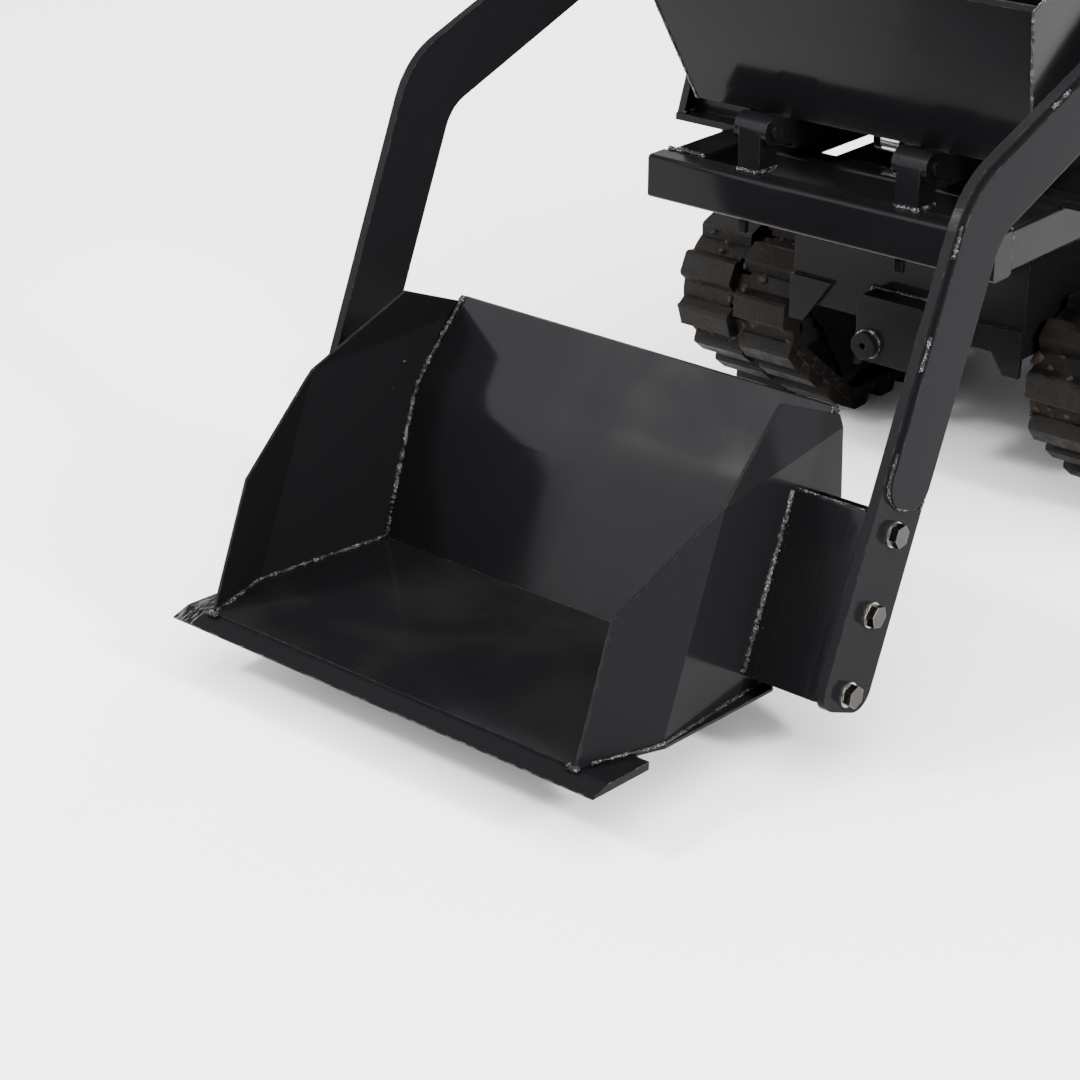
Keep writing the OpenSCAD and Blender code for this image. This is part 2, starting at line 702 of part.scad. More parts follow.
// Skip
module hinge_uprights() {
    color("#1b1c1e") both() {
        side(upright_x, upright_w) {
            translate([skip_hinge[0] - 20, deck_top]) square([40, skip_hinge[1] - deck_top]);
            translate(skip_hinge) circle(20);
        }
        pin(skip_hinge, upright_x - 15, upright_x + upright_w + 15, 20);
    }
}
module skip_side_outline(inset) {
    polygon([[skip_front + inset, skip_z + inset], [skip_front - 100 + inset, skip_z + skip_h * 0.7],
        [skip_front + 70, skip_z + skip_h + (inset > 0 ? 40 : 0)],
        [skip_back + 50 - inset, skip_z + skip_h + (inset > 0 ? 40 : 0)],
        [skip_back - inset, skip_z + inset]]);
}
module skip_front_outline(inset) {
    k = (skip_w - skip_floor_w) / 2 / skip_h;
    top = skip_h + 40;
    polygon([[-skip_floor_w / 2 + inset, skip_z - 20], [skip_floor_w / 2 - inset, skip_z - 20],
        [skip_floor_w / 2 - inset, skip_z + inset], [skip_floor_w / 2 + k * top - inset, skip_z + top],
        [-skip_floor_w / 2 - k * top + inset, skip_z + top], [-skip_floor_w / 2 + inset, skip_z + inset]]);
}
module skip_tub() {
    color("#1b1c1e") difference() {
        intersection() {
            side(-skip_w, 2 * skip_w) skip_side_outline(0);
            front(-800, 1600) skip_front_outline(0);
        }
        intersection() {
            side(-skip_w, 2 * skip_w) skip_side_outline(skip_t);
            front(-800, 1600) skip_front_outline(skip_t);
        }
    }
}
module skip_rim() {
    r = 11;
    top = skip_z + skip_h + r;
    x = skip_w / 2 - r;
    color("#1b1c1e") pipe([[x, skip_front + 70, top], [x, skip_back + 50 - r, top],
        [-x, skip_back + 50 - r, top], [-x, skip_front + 70, top]], 2 * r);
}
module skip_bearers() {
    ear = 8;
    color("#1b1c1e") difference() {
        union() {
            both() {
                for (x = [upright_x - clear - ear, upright_x + upright_w + clear])
                    side(x, ear) {
                        link(skip_hinge, 20, skip_hinge + [40, -8], 16);
                        translate([skip_hinge[0], skip_hinge[1]]) square([60, skip_z - skip_hinge[1]]);
                    }
                translate([upright_x - clear - ear, skip_hinge[0] + 45, skip_z - 40])
                    cube([upright_w + 2 * (clear + ear), skip_l - 80, 40]);
            }
            for (x = [-eye_w / 2 - clear - 10, eye_w / 2 + clear])
                side(x, 10) {
                    link(ram_top, 20, ram_top + [0, 8], 20);
                    translate([ram_top[0] - 40, skip_z - 14]) square([80, 14]);
                }
            both() translate([eye_w / 2 + clear, ram_top[0] - 40, skip_z - 8])
                cube([upright_x - eye_w / 2 - clear, 80, 8]);
        }
        both() pin(skip_hinge, upright_x - 30, upright_x + upright_w + 30, 20 + 2 * fit_gap);
    }
}
module on_ram() {
    translate([0, ram_base[0], ram_base[1]]) rotate([90 - ram_tilt, 0, 0]) children();
}
module tip_barrel() {
    color("#161719") on_ram() cylinder_barrel(ram_barrel_l, 46, 40, 26, lift_pin_d);
}
module tip_rod() {
    color("#c4c6c8") on_ram() cylinder_rod(ram_rest, ram_rod_l, 26, 46, 38, lift_pin_d,
        -eye_w / 2, eye_w / 2);
}

// Tracks
module loop(extra) {
    n = len(loop_c);
    hull_points = [for (i = [0 : n - 1]) let (j = (i + 1) % n,
        m = tangent_n(loop_c[i], loop_r[i], loop_c[j], loop_r[j]), s = -1)
        each [loop_c[i] + s * -1 * (loop_r[i] + extra) * m, loop_c[j] + s * -1 * (loop_r[j] + extra) * m]];
    polygon(hull_points);
    for (i = [0 : n - 1]) translate(loop_c[i]) circle(loop_r[i] + extra);
}
// Path of the belt's outer face, in order, as straight runs and arcs
function run_n(i) = tangent_n(loop_c[i], loop_r[i], loop_c[(i + 1) % 4], loop_r[(i + 1) % 4]);
function run_len(i) = norm(loop_c[(i + 1) % 4] + (loop_r[(i + 1) % 4] + belt_t) * run_n(i)
    - loop_c[i] - (loop_r[i] + belt_t) * run_n(i));
function run_angle(i) = atan2(run_n(i)[1], run_n(i)[0]);
function arc_turn(i) = let (a = run_angle(i) - run_angle((i + 3) % 4)) a - 360 * floor(a / 360);
function arc_len(i) = arc_turn(i) * PI / 180 * (loop_r[i] + belt_t);
// Length of the path before the arc of wheel i
function before(i) = i == 0 ? 0 : before(i - 1) + arc_len(i - 1) + run_len(i - 1);
belt_len = before(3) + arc_len(3) + run_len(3);
lug_count = round(belt_len / lug_pitch);
function spot_arc(s, i) = let (a = run_angle((i + 3) % 4) + (s - before(i)) / (loop_r[i] + belt_t) * 180 / PI)
    [loop_c[i] + (loop_r[i] + belt_t) * [cos(a), sin(a)], a];
function spot_run(s, i) = let (n = run_n(i), d = s - before(i) - arc_len(i))
    [loop_c[i] + (loop_r[i] + belt_t) * n + d * [-n[1], n[0]], run_angle(i)];
function spot(s, i) = s < before(i) + arc_len(i) ? spot_arc(s, i)
    : (i == 3 || s < before(i + 1)) ? spot_run(s, i) : spot(s, i + 1);
// Places one copy of the children on the belt's outer face at each lug
module along_belt(shift) {
    for (i = [0 : lug_count - 1]) {
        p = spot((i + shift) * belt_len / lug_count, 0);
        translate(p[0]) rotate(p[1]) children();
    }
}
module lug() {
    polygon([[-2, -24], [lug_h - 4, -19], [lug_h, -15], [lug_h, 15], [lug_h - 4, 19], [-2, 24]]);
}
module belt_ring() {
    difference() {
        loop(belt_t);
        loop(0);
    }
}
module track(s) {
    edge = track_w / 2 - slot_half;
    color("#3a332c") mirrored(s) translate([frame_x, 0, 0]) {
        for (x = [-track_w / 2, slot_half])
            side(x, edge) belt_ring();
        side(-slot_half, 2 * slot_half) difference() {
            belt_ring();
            along_belt(0.25) translate([-belt_t - 3, -11]) square([belt_t + 6, 22]);
        }
        side(-track_w / 2 + 3, track_w / 2 - 9) along_belt(0) lug();
        side(6, track_w / 2 - 9) along_belt(0.5) lug();
        for (x = [-guide_x0 - guide_w, guide_x0])
            side(x, guide_w) along_belt(0.25)
                polygon([[-belt_t + 2, -16], [-belt_t + 2, 16], [-belt_t - guide_h, 9],
                    [-belt_t - guide_h, -9]]);
    }
}
module track_left() { track(1); }
module track_right() { track(-1); }
module wheel(c, r, x0, x1, hub, bore) {
    difference() {
        union() {
            for (s = [-1, 1])
                pin(c, frame_x + s * (x0 + x1) / 2 - (x1 - x0) / 2,
                    frame_x + s * (x0 + x1) / 2 + (x1 - x0) / 2, 2 * (r - clear));
            pin(c, frame_x - x1 - 2, frame_x + x1 + 2, hub);
        }
        pin(c, frame_x - x1 - 10, frame_x + x1 + 10, bore + 2 * fit_gap);
    }
}
module idler(s) {
    color("#232324") mirrored(s) difference() {
        wheel(front_wheel, wheel_r, 40, 64, 54, 30);
        for (a = [0 : 60 : 300])
            pin(on_circle(front_wheel, 47, a), frame_x - 80, frame_x + 80, 22);
    }
}
module idler_left() { idler(1); }
module idler_right() { idler(-1); }
yoke_x = 69;
yoke_t = 9;
yoke_back = 96;
beam_front = 176;
beam_z = 160;
module idler_yokes() {
    color("#1b1c1e") both() translate([frame_x, 0, 0]) {
        for (x = [-yoke_x - yoke_t, yoke_x])
            side(x, yoke_t) link(front_wheel, 22, [yoke_back - 14, front_wheel_z], 16);
        translate([-yoke_x, yoke_back - 22, front_wheel_z - 16]) cube([2 * yoke_x, 22, 32]);
        translate([0, yoke_back, front_wheel_z]) rotate([-90, 0, 0]) {
            cylinder(d = 20, h = beam_front - yoke_back - 6);
            cylinder(d = 36, h = 34);
            translate([0, 0, 44]) cylinder(d = 34, h = 14, $fn = 6);
        }
        translate([-frame_half, front_wheel[0], front_wheel[1]]) rotate([0, 90, 0])
            cylinder(d = 30, h = 2 * frame_half);
    }
}
module sprocket(s) {
    tip_r = wheel_r - 2 * clear;
    root_r = wheel_r - 20;
    color("#29282a") mirrored(s) difference() {
        union() {
            side(frame_x - slot_half + 2, 2 * slot_half - 4) translate(sprocket_c) {
                circle(root_r);
                for (i = [0 : tooth_count - 1])
                    rotate(i * 360 / tooth_count) intersection() {
                        circle(tip_r);
                        polygon([[0, -20], [root_r, -15], [tip_r + 2, -7], [tip_r + 2, 7],
                            [root_r, 15], [0, 20]]);
                    }
            }
            pin(sprocket_c, frame_x - 20, frame_x + 26, 72);
            for (i = [0 : 5])
                pin(on_circle(sprocket_c, 27, 60 * i), frame_x + 26, frame_x + 32, 10);
        }
        pin(sprocket_c, frame_x - 30, frame_x + 20, 36 + 2 * fit_gap);
    }
}
module sprocket_left() { sprocket(1); }
module sprocket_right() { sprocket(-1); }
module drive_motors() {
    color("#2b2c2e") both() {
        pin(sprocket_c, chassis_x - 82, chassis_x, 80);
        pin(sprocket_c, chassis_x, chassis_x + 12, 110);
        pin(sprocket_c, chassis_x + 12, frame_x - 20 - clear, 64);
        pin(sprocket_c, frame_x - 30, frame_x + 18, 36);
        for (y = [-18, 18])
            translate([chassis_x - 50, sprocket_c[0] + y, sprocket_c[1]]) cylinder(d = 22, h = 56);
    }
}
function roller_y(i) = roller_first + i * roller_step;
module roller_axles() {
    color("#2b2c2e") both() for (i = [0 : roller_count - 1])
        pin([roller_y(i), roller_z], frame_x - frame_half - 6, frame_x + frame_half + 6, 20);
}
module roller(s, i) {
    color("#232324") mirrored(s) wheel([roller_y(i), roller_z], roller_r, 40, 76, 46, 20);
}
module rollers_left_a() { roller(1, 0); }
module rollers_left_b() { roller(1, 1); }
module rollers_left_c() { roller(1, 2); }
module rollers_left_d() { roller(1, 3); }
module rollers_right_a() { roller(-1, 0); }
module rollers_right_b() { roller(-1, 1); }
module rollers_right_c() { roller(-1, 2); }
module rollers_right_d() { roller(-1, 3); }
module track_plate(top) {
    f = front_wheel;
    z = roller_z;
    polygon([[roller_first - 30, z - 24], [roller_last + 16, z - 24], [roller_last + 44, z + 4],
        [roller_last + 44, z + 34], [roller_last - 10, top], [f[0] + 60, top], f + [16, 26],
        f + [-12, 26], f + [-26, 12], f + [-26, -12], f + [4, -40]]);
}
module track_frame(s) {
    beam_h = 52;
    color("#1b1c1e") mirrored(s) difference() {
        union() {
            for (x = [-frame_half, frame_half - frame_plate])
                side(frame_x + x, frame_plate) track_plate(beam_z + beam_h);
            front(beam_front, roller_last - 60 - beam_front)
                translate([frame_x, beam_z + beam_h / 2])
                    section(2 * (frame_half - frame_plate) + 4, beam_h, 5, corner_r);
            translate([frame_x - 30, beam_front - 6, beam_z + 4]) cube([60, 8, beam_h - 8]);
        }
        for (i = [0 : roller_count - 1])
            pin([roller_y(i), roller_z], frame_x - 120, frame_x + 120, 20 + 2 * fit_gap);
        pin(front_wheel, frame_x - 120, frame_x + 120, 30 + 2 * fit_gap);
    }
}
module track_frame_left() { track_frame(1); }
module track_frame_right() { track_frame(-1); }

// Engine and controls
module hood_outline(inset) {
    translate([0, engine_z + hood_h / 2]) square([hood_w - 2 * inset, hood_h], center = true);
}
module engine_hood() {
    color("#1b1c1e") {
        difference() {
            translate([-hood_w / 2, hood_front, engine_z]) cube([hood_w, hood_l, hood_h]);
            translate([-hood_w / 2 + hood_t, hood_front + hood_t, engine_z - 1])
                cube([hood_w - 2 * hood_t, hood_l - 2 * hood_t, hood_h + 2]);
            for (i = [0 : 7])
                translate([-hood_w, hood_front + 60, engine_z + 90 + 24 * i])
                    cube([2 * hood_w, 120, 9]);
            for (i = [0 : 4])
                translate([-hood_w / 2 - 1, hood_front + 230, engine_z + 90 + 24 * i])
                    cube([20, 100, 9]);
            pin([hood_front + 280, engine_z + 260], 0, hood_w, 56);
        }
        hood_hinges();
    }
}
lid_axis = [hood_back - 6, hood_top + 10];
hinge_w = 40;
hinge_x = 110;
module hood_hinges() {
    for (s = [-1, 1], e = [0, 1]) {
        x = s * (hinge_x + hinge_w / 2) + (e * 2 - 1) * (hinge_w / 2 + clear + 4);
        side(x - 4, 8) {
            translate(lid_axis) circle(6);
            translate([lid_axis[0] - 6, hood_top]) square([12, lid_axis[1] - hood_top]);
        }
    }
    for (s = [-1, 1])
        pin(lid_axis, s * (hinge_x + hinge_w / 2) - hinge_w / 2 - 8,
            s * (hinge_x + hinge_w / 2) + hinge_w / 2 + 8, 6);
}
module hood_lid() {
    w = hood_w + 8;
    color("#1b1c1e") difference() {
        union() {
            difference() {
                translate([-w / 2, hood_front - 4, hood_top + clear]) cube([w, hood_l - 10, 14]);
                translate([-w / 2 + 2, hood_front - 2, hood_top - 1]) cube([w - 4, hood_l - 14, 13]);
            }
            for (x = [-hinge_x - hinge_w, hinge_x]) {
                pin(lid_axis, x, x + hinge_w, 12);
                translate([x, hood_back - 18, hood_top + 8]) cube([hinge_w, 12, 6]);
            }
            translate([-40, hood_front - 10, hood_top + 4]) cube([80, 6, 8]);
        }
        pin(lid_axis, -hood_w, hood_w, 6 + 2 * fit_gap);
    }
}
module engine_block() {
    color("#3b3c3e") {
        translate([-130, 640, engine_z]) cube([180, 170, 24]);
        side(-120, 160) translate([725, engine_z + 100]) rounded(150, 156, 24);
        for (i = [0 : 6])
            translate([-100, 0, 0]) side(0, 120) translate([668, engine_z + 168]) rotate(38)
                translate([-55, 10 + 11 * i]) square([110, 5]);
        side(-80, 80) translate([668, engine_z + 168]) rotate(38) translate([-40, -30]) square([80, 125]);
        pin([735, engine_z + 105], -190, -120, 180);
        pin([735, engine_z + 105], -200, -190, 120);
        pin([735, engine_z + 105], 40, 90, 90);
        pin([735, engine_z + 105], 90, hood_w / 2 - 108, 70);
        translate([20, 640, engine_z + 178]) cube([90, 70, 92]);
        for (x = [-130, 20])
            translate([x, 798, engine_z]) cube([30, 12, 270]);
    }
}
module muffler() {
    color("#55524e") {
        translate([120, 560, engine_z + 190]) cube([hood_w / 2 - 148, 110, 90]);
        pin([652, engine_z + 225], 110, 120, 26);
        pin([hood_front + 280, engine_z + 260], 150, hood_w / 2 + 24, 40);
        translate([150, 660, engine_z + 240]) cube([40, 140, 40]);
    }
}
module fuel_tank() {
    color("#1f2022") {
        translate([-160, 640, engine_z + 270]) linear_extrude(80)
            translate([100, 80]) rounded(200, 190, 30);
        translate([-60, 720, engine_z + 350]) cylinder(d = 44, h = 6);
    }
}
module fuel_cap() {
    color("#161719") translate([-60, 720, engine_z + 356]) difference() {
        cylinder(d = 56, h = 18);
        for (a = [0 : 30 : 330])
            rotate(a) translate([30, 0, -1]) cylinder(d = 8, h = 20);
    }
}
module hydraulic_tank() {
    color("#1b1c1e") {
        translate([hood_w / 2 - 98, 690, engine_z]) linear_extrude(170)
            translate([44, 90]) rounded(88, 180, 10);
        translate([hood_w / 2 - 54, 740, engine_z + 170]) cylinder(d = 40, h = 16);
    }
}
lever_axis_z = console_top - 60;
lever_y = console_y + 55;
module console() {
    color("#1b1c1e") difference() {
        union() {
            difference() {
                side(-console_w / 2, console_w) polygon([[console_y, console_z],
                    [console_y + console_d - 30, console_z], [console_y + console_d, console_top - 40],
                    [console_y + console_d, console_top - 20], [console_y, console_top]]);
                side(-console_w / 2 + 3, console_w - 6) polygon([[console_y + 3, console_z - 1],
                    [console_y + console_d - 33, console_z - 1], [console_y + console_d - 3, console_top - 40],
                    [console_y + console_d - 3, console_top - 23], [console_y + 3, console_top - 3]]);
            }
            for (x = [-150, 150])
                translate([x - 20, console_y, deck_top + plate_t]) cube([40, 6, console_z - deck_top]);
            pin([lever_y, lever_axis_z], -console_w / 2 + 2, console_w / 2 - 2, 8);
        }
        for (x = [-140, -60, 0, 60, 140])
            translate([x - 9, lever_y - 32, console_top - 30]) cube([18, 64, 40]);
    }
}
module lever(x, l, knob) {
    difference() {
        union() {
            pin([lever_y, lever_axis_z], x - 7, x + 7, 22);
            translate([x, lever_y, lever_axis_z]) cylinder(d = 10, h = l);
            translate([x, lever_y, lever_axis_z + l + knob / 3]) sphere(d = knob);
        }
        pin([lever_y, lever_axis_z], x - 10, x + 10, 8 + 2 * fit_gap);
    }
}
module travel_lever_left() { color("#222222") lever(140, 130, 34); }
module travel_lever_right() { color("#222222") lever(-140, 130, 34); }
module loader_lever() { color("#222222") lever(60, 110, 28); }
module skip_lever() { color("#222222") lever(-60, 110, 28); }
module throttle_lever() { color("#222222") lever(0, 84, 16); }
module handlebar() {
    x = 232;
    y = deck_back + 72;
    z = deck_z + deck_h / 2;
    bend = 60;
    color("#1b1c1e") {
        for (s = [-x, x])
            translate([s, 0, 0]) rotate([90, 0, 90]) bent_pipe([[deck_back, z], [y, z],
                [y, handle_z], [handle_back - bend - 12, handle_z]], handle_d, bend);
        translate([0, 0, handle_z]) bent_pipe([[x, handle_back - bend - 12], [x, handle_back],
            [-x, handle_back], [-x, handle_back - bend - 12]], handle_d, bend);
    }
}

cutting_edge();
bucket_shell();
bucket_side_left();
bucket_side_right();
bucket_bracket_left();
bucket_bracket_right();
arm_left();
arm_right();
arm_doublers();
arm_bolts();
loader_pins();
loader_posts();
lift_barrel_left();
lift_barrel_right();
lift_rod_left();
lift_rod_right();
lift_base_brackets();
deck_frame();
chassis_frame();
cross_tubes();
hinge_uprights();
skip_tub();
skip_rim();
skip_bearers();
tip_barrel();
tip_rod();
track_left();
track_right();
track_frame_left();
track_frame_right();
idler_left();
idler_right();
idler_yokes();
sprocket_left();
sprocket_right();
drive_motors();
roller_axles();
rollers_left_a();
rollers_left_b();
rollers_left_c();
rollers_left_d();
rollers_right_a();
rollers_right_b();
rollers_right_c();
rollers_right_d();
engine_hood();
hood_lid();
engine_block();
muffler();
fuel_tank();
hydraulic_tank();
console();
travel_lever_left();
travel_lever_right();
loader_lever();
skip_lever();
throttle_lever();
fuel_cap();
handlebar();
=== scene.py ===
import json
import math
import random

import bpy
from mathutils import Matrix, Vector


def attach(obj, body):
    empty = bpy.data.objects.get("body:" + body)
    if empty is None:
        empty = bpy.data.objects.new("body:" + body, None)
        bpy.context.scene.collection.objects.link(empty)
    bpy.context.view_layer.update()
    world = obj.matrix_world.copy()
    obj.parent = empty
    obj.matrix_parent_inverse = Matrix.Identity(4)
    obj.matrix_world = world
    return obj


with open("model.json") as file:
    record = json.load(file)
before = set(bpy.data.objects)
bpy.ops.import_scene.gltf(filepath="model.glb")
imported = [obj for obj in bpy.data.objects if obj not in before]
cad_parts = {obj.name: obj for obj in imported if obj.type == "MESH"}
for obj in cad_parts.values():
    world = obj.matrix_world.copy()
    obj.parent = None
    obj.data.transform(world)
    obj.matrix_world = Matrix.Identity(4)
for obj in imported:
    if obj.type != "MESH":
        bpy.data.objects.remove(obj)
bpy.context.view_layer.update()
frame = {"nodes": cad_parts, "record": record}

MM = 0.001


# Places: the same sizes as part.scad, in millimetres.
PIVOT = (-29.4, 832.0)
ARM_LEAN = math.radians(23.3)
ARM_RISE = math.radians(20.0)
ARM_LOWER, ARM_UPPER = 578.0, 630.0
ARM_W, ARM_OUT = 98.0, 421.0
DOUBLER_INSET, DOUBLER_LOW, DOUBLER_END_R = 8.0, 240.0, 30.0
KNEE = (PIVOT[0] - ARM_UPPER * math.cos(ARM_RISE), PIVOT[1] - ARM_UPPER * math.sin(ARM_RISE))
ARM_END = (KNEE[0] - ARM_LOWER * math.sin(ARM_LEAN), KNEE[1] - ARM_LOWER * math.cos(ARM_LEAN))
TILT = math.radians(2.8)
TIP = (ARM_END[0] - 330.0, ARM_END[1] - 1.0)
HEEL, BEND, MOUTH = 340.0, 132.0, 25.0
FLARE, TAPER, SLOPE, REAR_SLOPE = 33.0 / 107.0, 16.0 / 208.0, math.tan(math.radians(6.7)), 0.022
EAR_Y, EAR_Z, EAR_SLOPE = 222.0, 266.4, math.tan(math.radians(16.0))
EAR_X = 320.0 - TAPER * (EAR_Y - BEND) + REAR_SLOPE * (EAR_Z - 14.0)
FLOOR_TOP, BACK_H, BACK_R, SHEET = 14.0, 313.0, 150.0, 4.0
BACK_MID = (HEEL + 52.0, FLOOR_TOP + 0.643 * (BACK_H - FLOOR_TOP))
BACK_TOP = (HEEL + 129.0, BACK_H)
LOW_LEAN = math.atan2(BACK_MID[0] - HEEL, BACK_MID[1] - FLOOR_TOP)
HIGH_LEAN = math.atan2(BACK_TOP[0] - BACK_MID[0], BACK_TOP[1] - BACK_MID[1])


def bucket(x, y, z):
    c, s = math.cos(TILT), math.sin(TILT)
    return Vector((x, TIP[0] + y * c + z * s, TIP[1] - y * s + z * c)) * MM


def arm(x, y, z):
    c, s = math.cos(ARM_LEAN), math.sin(ARM_LEAN)
    return Vector((x, ARM_END[0] + y * c + z * s, ARM_END[1] - y * s + z * c)) * MM


def upper(x, v, u):
    """A point of the upper arm: u along it from the knee, v across it, upwards."""
    c, s = math.cos(ARM_RISE), math.sin(ARM_RISE)
    return Vector((x, KNEE[0] + u * c - v * s, KNEE[1] + u * s + v * c)) * MM


def to_bucket(p):
    """The bucket's own y and z of a point, in millimetres."""
    c, s = math.cos(TILT), math.sin(TILT)
    y, z = p.y / MM - TIP[0], p.z / MM - TIP[1]
    return y * c - z * s, y * s + z * c


def side_x(y, z):
    """The outer face of a bucket side plate."""
    front = 320.0 + FLARE * (y - BEND) - SLOPE * (z - FLOOR_TOP)
    rear = 320.0 - TAPER * (y - BEND) + REAR_SLOPE * (z - FLOOR_TOP)
    ear = EAR_X - 0.6 * TAPER * (y - EAR_Y) - EAR_SLOPE * (z - EAR_Z)
    return min(front, rear, ear)


def back_line(out=0.0):
    """The rolled profile of the bucket's back, a distance out from its inner face."""
    run = BACK_R * math.tan((HIGH_LEAN - LOW_LEAN) / 2.0)
    c = (BACK_MID[0] - run * math.sin(LOW_LEAN) + BACK_R * math.cos(LOW_LEAN),
         BACK_MID[1] - run * math.cos(LOW_LEAN) - BACK_R * math.sin(LOW_LEAN))
    line = [(HEEL + out * math.cos(LOW_LEAN), FLOOR_TOP - out * math.sin(LOW_LEAN))]
    for i in range(9):
        a = LOW_LEAN + (HIGH_LEAN - LOW_LEAN) * i / 8.0
        r = BACK_R - out
        line.append((c[0] - r * math.cos(a), c[1] + r * math.sin(a)))
    line.append((BACK_TOP[0] + out * math.cos(HIGH_LEAN), BACK_TOP[1] - out * math.sin(HIGH_LEAN)))
    return line


# Materials
class Nodes:
    """Builds one procedural material, node by node."""

    def __init__(self, name):
        self.mat = bpy.data.materials.new(name)
        self.mat.use_nodes = True
        self.tree = self.mat.node_tree
        self.shader = self.tree.nodes["Principled BSDF"]
        coord = self.tree.nodes.new("ShaderNodeTexCoord")
        self.place = coord.outputs["Object"]
        self.count = 0

    def add(self, kind, **values):
        node = self.tree.nodes.new(kind)
        for key, value in values.items():
            if hasattr(node, key):
                setattr(node, key, value)
        return node

    def link(self, a, b):
        self.tree.links.new(a, b)

    def stretched(self, scale):
        node = self.add("ShaderNodeMapping")
        node.inputs["Scale"].default_value = scale
        self.link(self.place, node.inputs["Vector"])
        return node.outputs["Vector"]

    def drawn_out(self, size, turn):
        """Coordinates turned about X and drawn out by a size along each axis."""
        node = self.add("ShaderNodeMapping", vector_type="TEXTURE")
        node.inputs["Scale"].default_value = size
        node.inputs["Rotation"].default_value = (turn, 0.0, 0.0)
        self.link(self.place, node.inputs["Vector"])
        return node.outputs["Vector"]

    def noise(self, scale, detail=4.0, rough=0.55, distort=0.0, vector=None):
        node = self.add("ShaderNodeTexNoise")
        node.inputs["Scale"].default_value = scale
        node.inputs["Detail"].default_value = detail
        node.inputs["Roughness"].default_value = rough
        node.inputs["Distortion"].default_value = distort
        self.link(vector or self.place, node.inputs["Vector"])
        return node.outputs["Fac"]

    def cells(self, scale, vector=None, feature="F1"):
        node = self.add("ShaderNodeTexVoronoi", feature=feature)
        node.inputs["Scale"].default_value = scale
        self.link(vector or self.place, node.inputs["Vector"])
        return node.outputs["Distance"]

    def span(self, value, low, high, out_low=0.0, out_high=1.0):
        node = self.add("ShaderNodeMapRange", interpolation_type="SMOOTHSTEP")
        self.link(value, node.inputs["Value"])
        limits = {"From Min": low, "From Max": high, "To Min": out_low, "To Max": out_high}
        for key, number in limits.items():
            node.inputs[key].default_value = number
        return node.outputs["Result"]

    def math(self, operation, a, b):
        node = self.add("ShaderNodeMath", operation=operation)
        for i, value in enumerate((a, b)):
            if isinstance(value, (int, float)):
                node.inputs[i].default_value = value
            else:
                self.link(value, node.inputs[i])
        return node.outputs["Value"]

    def mix(self, factor, a, b):
        node = self.add("ShaderNodeMix", data_type="RGBA")
        self.link(factor, node.inputs["Factor"])
        for socket, value in zip((node.inputs[6], node.inputs[7]), (a, b)):
            if isinstance(value, tuple):
                socket.default_value = (*value, 1.0)
            else:
                self.link(value, socket)
        return node.outputs[2]

    def facing_up(self, low=0.5, high=0.95):
        geometry = self.add("ShaderNodeNewGeometry")
        split = self.add("ShaderNodeSeparateXYZ")
        self.link(geometry.outputs["Normal"], split.inputs["Vector"])
        return self.span(split.outputs["Z"], low, high)

    def edges(self, radius):
        """1 along sharp edges, 0 on faces."""
        bevel = self.add("ShaderNodeBevel", samples=4)
        bevel.inputs["Radius"].default_value = radius
        geometry = self.add("ShaderNodeNewGeometry")
        dot = self.add("ShaderNodeVectorMath", operation="DOT_PRODUCT")
        self.link(bevel.outputs["Normal"], dot.inputs[0])
        self.link(geometry.outputs["Normal"], dot.inputs[1])
        return self.span(dot.outputs["Value"], 0.99, 0.9)

    def surface(self, color, rough, height=None, strength=0.2, distance=0.001, round_edges=0.0):
        """Links colour, roughness, bump and rounded edges to the shader."""
        shader = self.shader
        if isinstance(color, tuple):
            shader.inputs["Base Color"].default_value = (*color, 1.0)
        else:
            self.link(color, shader.inputs["Base Color"])
        if isinstance(rough, (int, float)):
            shader.inputs["Roughness"].default_value = rough
        else:
            self.link(rough, shader.inputs["Roughness"])
        normal = None
        if round_edges:
            bevel = self.add("ShaderNodeBevel", samples=4)
            bevel.inputs["Radius"].default_value = round_edges
            normal = bevel.outputs["Normal"]
        if height is not None:
            bump = self.add("ShaderNodeBump")
            bump.inputs["Strength"].default_value = strength
            bump.inputs["Distance"].default_value = distance
            self.link(height, bump.inputs["Height"])
            if normal:
                self.link(normal, bump.inputs["Normal"])
            normal = bump.outputs["Normal"]
        if normal:
            self.link(normal, shader.inputs["Normal"])
        return self.mat

    def set(self, **values):
        names = {"metal": "Metallic", "specular": "Specular IOR Level", "coat": "Coat Weight",
                 "coat_rough": "Coat Roughness", "sheen": "Sheen Weight"}
        for key, value in values.items():
            self.shader.inputs[names[key]].default_value = value


def cut_faces(n):
    """1 on the narrow cut faces of a plate that stands across X, 0 on its wide faces."""
    geometry = n.add("ShaderNodeNewGeometry")
    split = n.add("ShaderNodeSeparateXYZ")
    n.link(geometry.outputs["Normal"], split.inputs["Vector"])
    return n.span(n.math("ABSOLUTE", split.outputs["X"], 0.0), 0.6, 0.3)


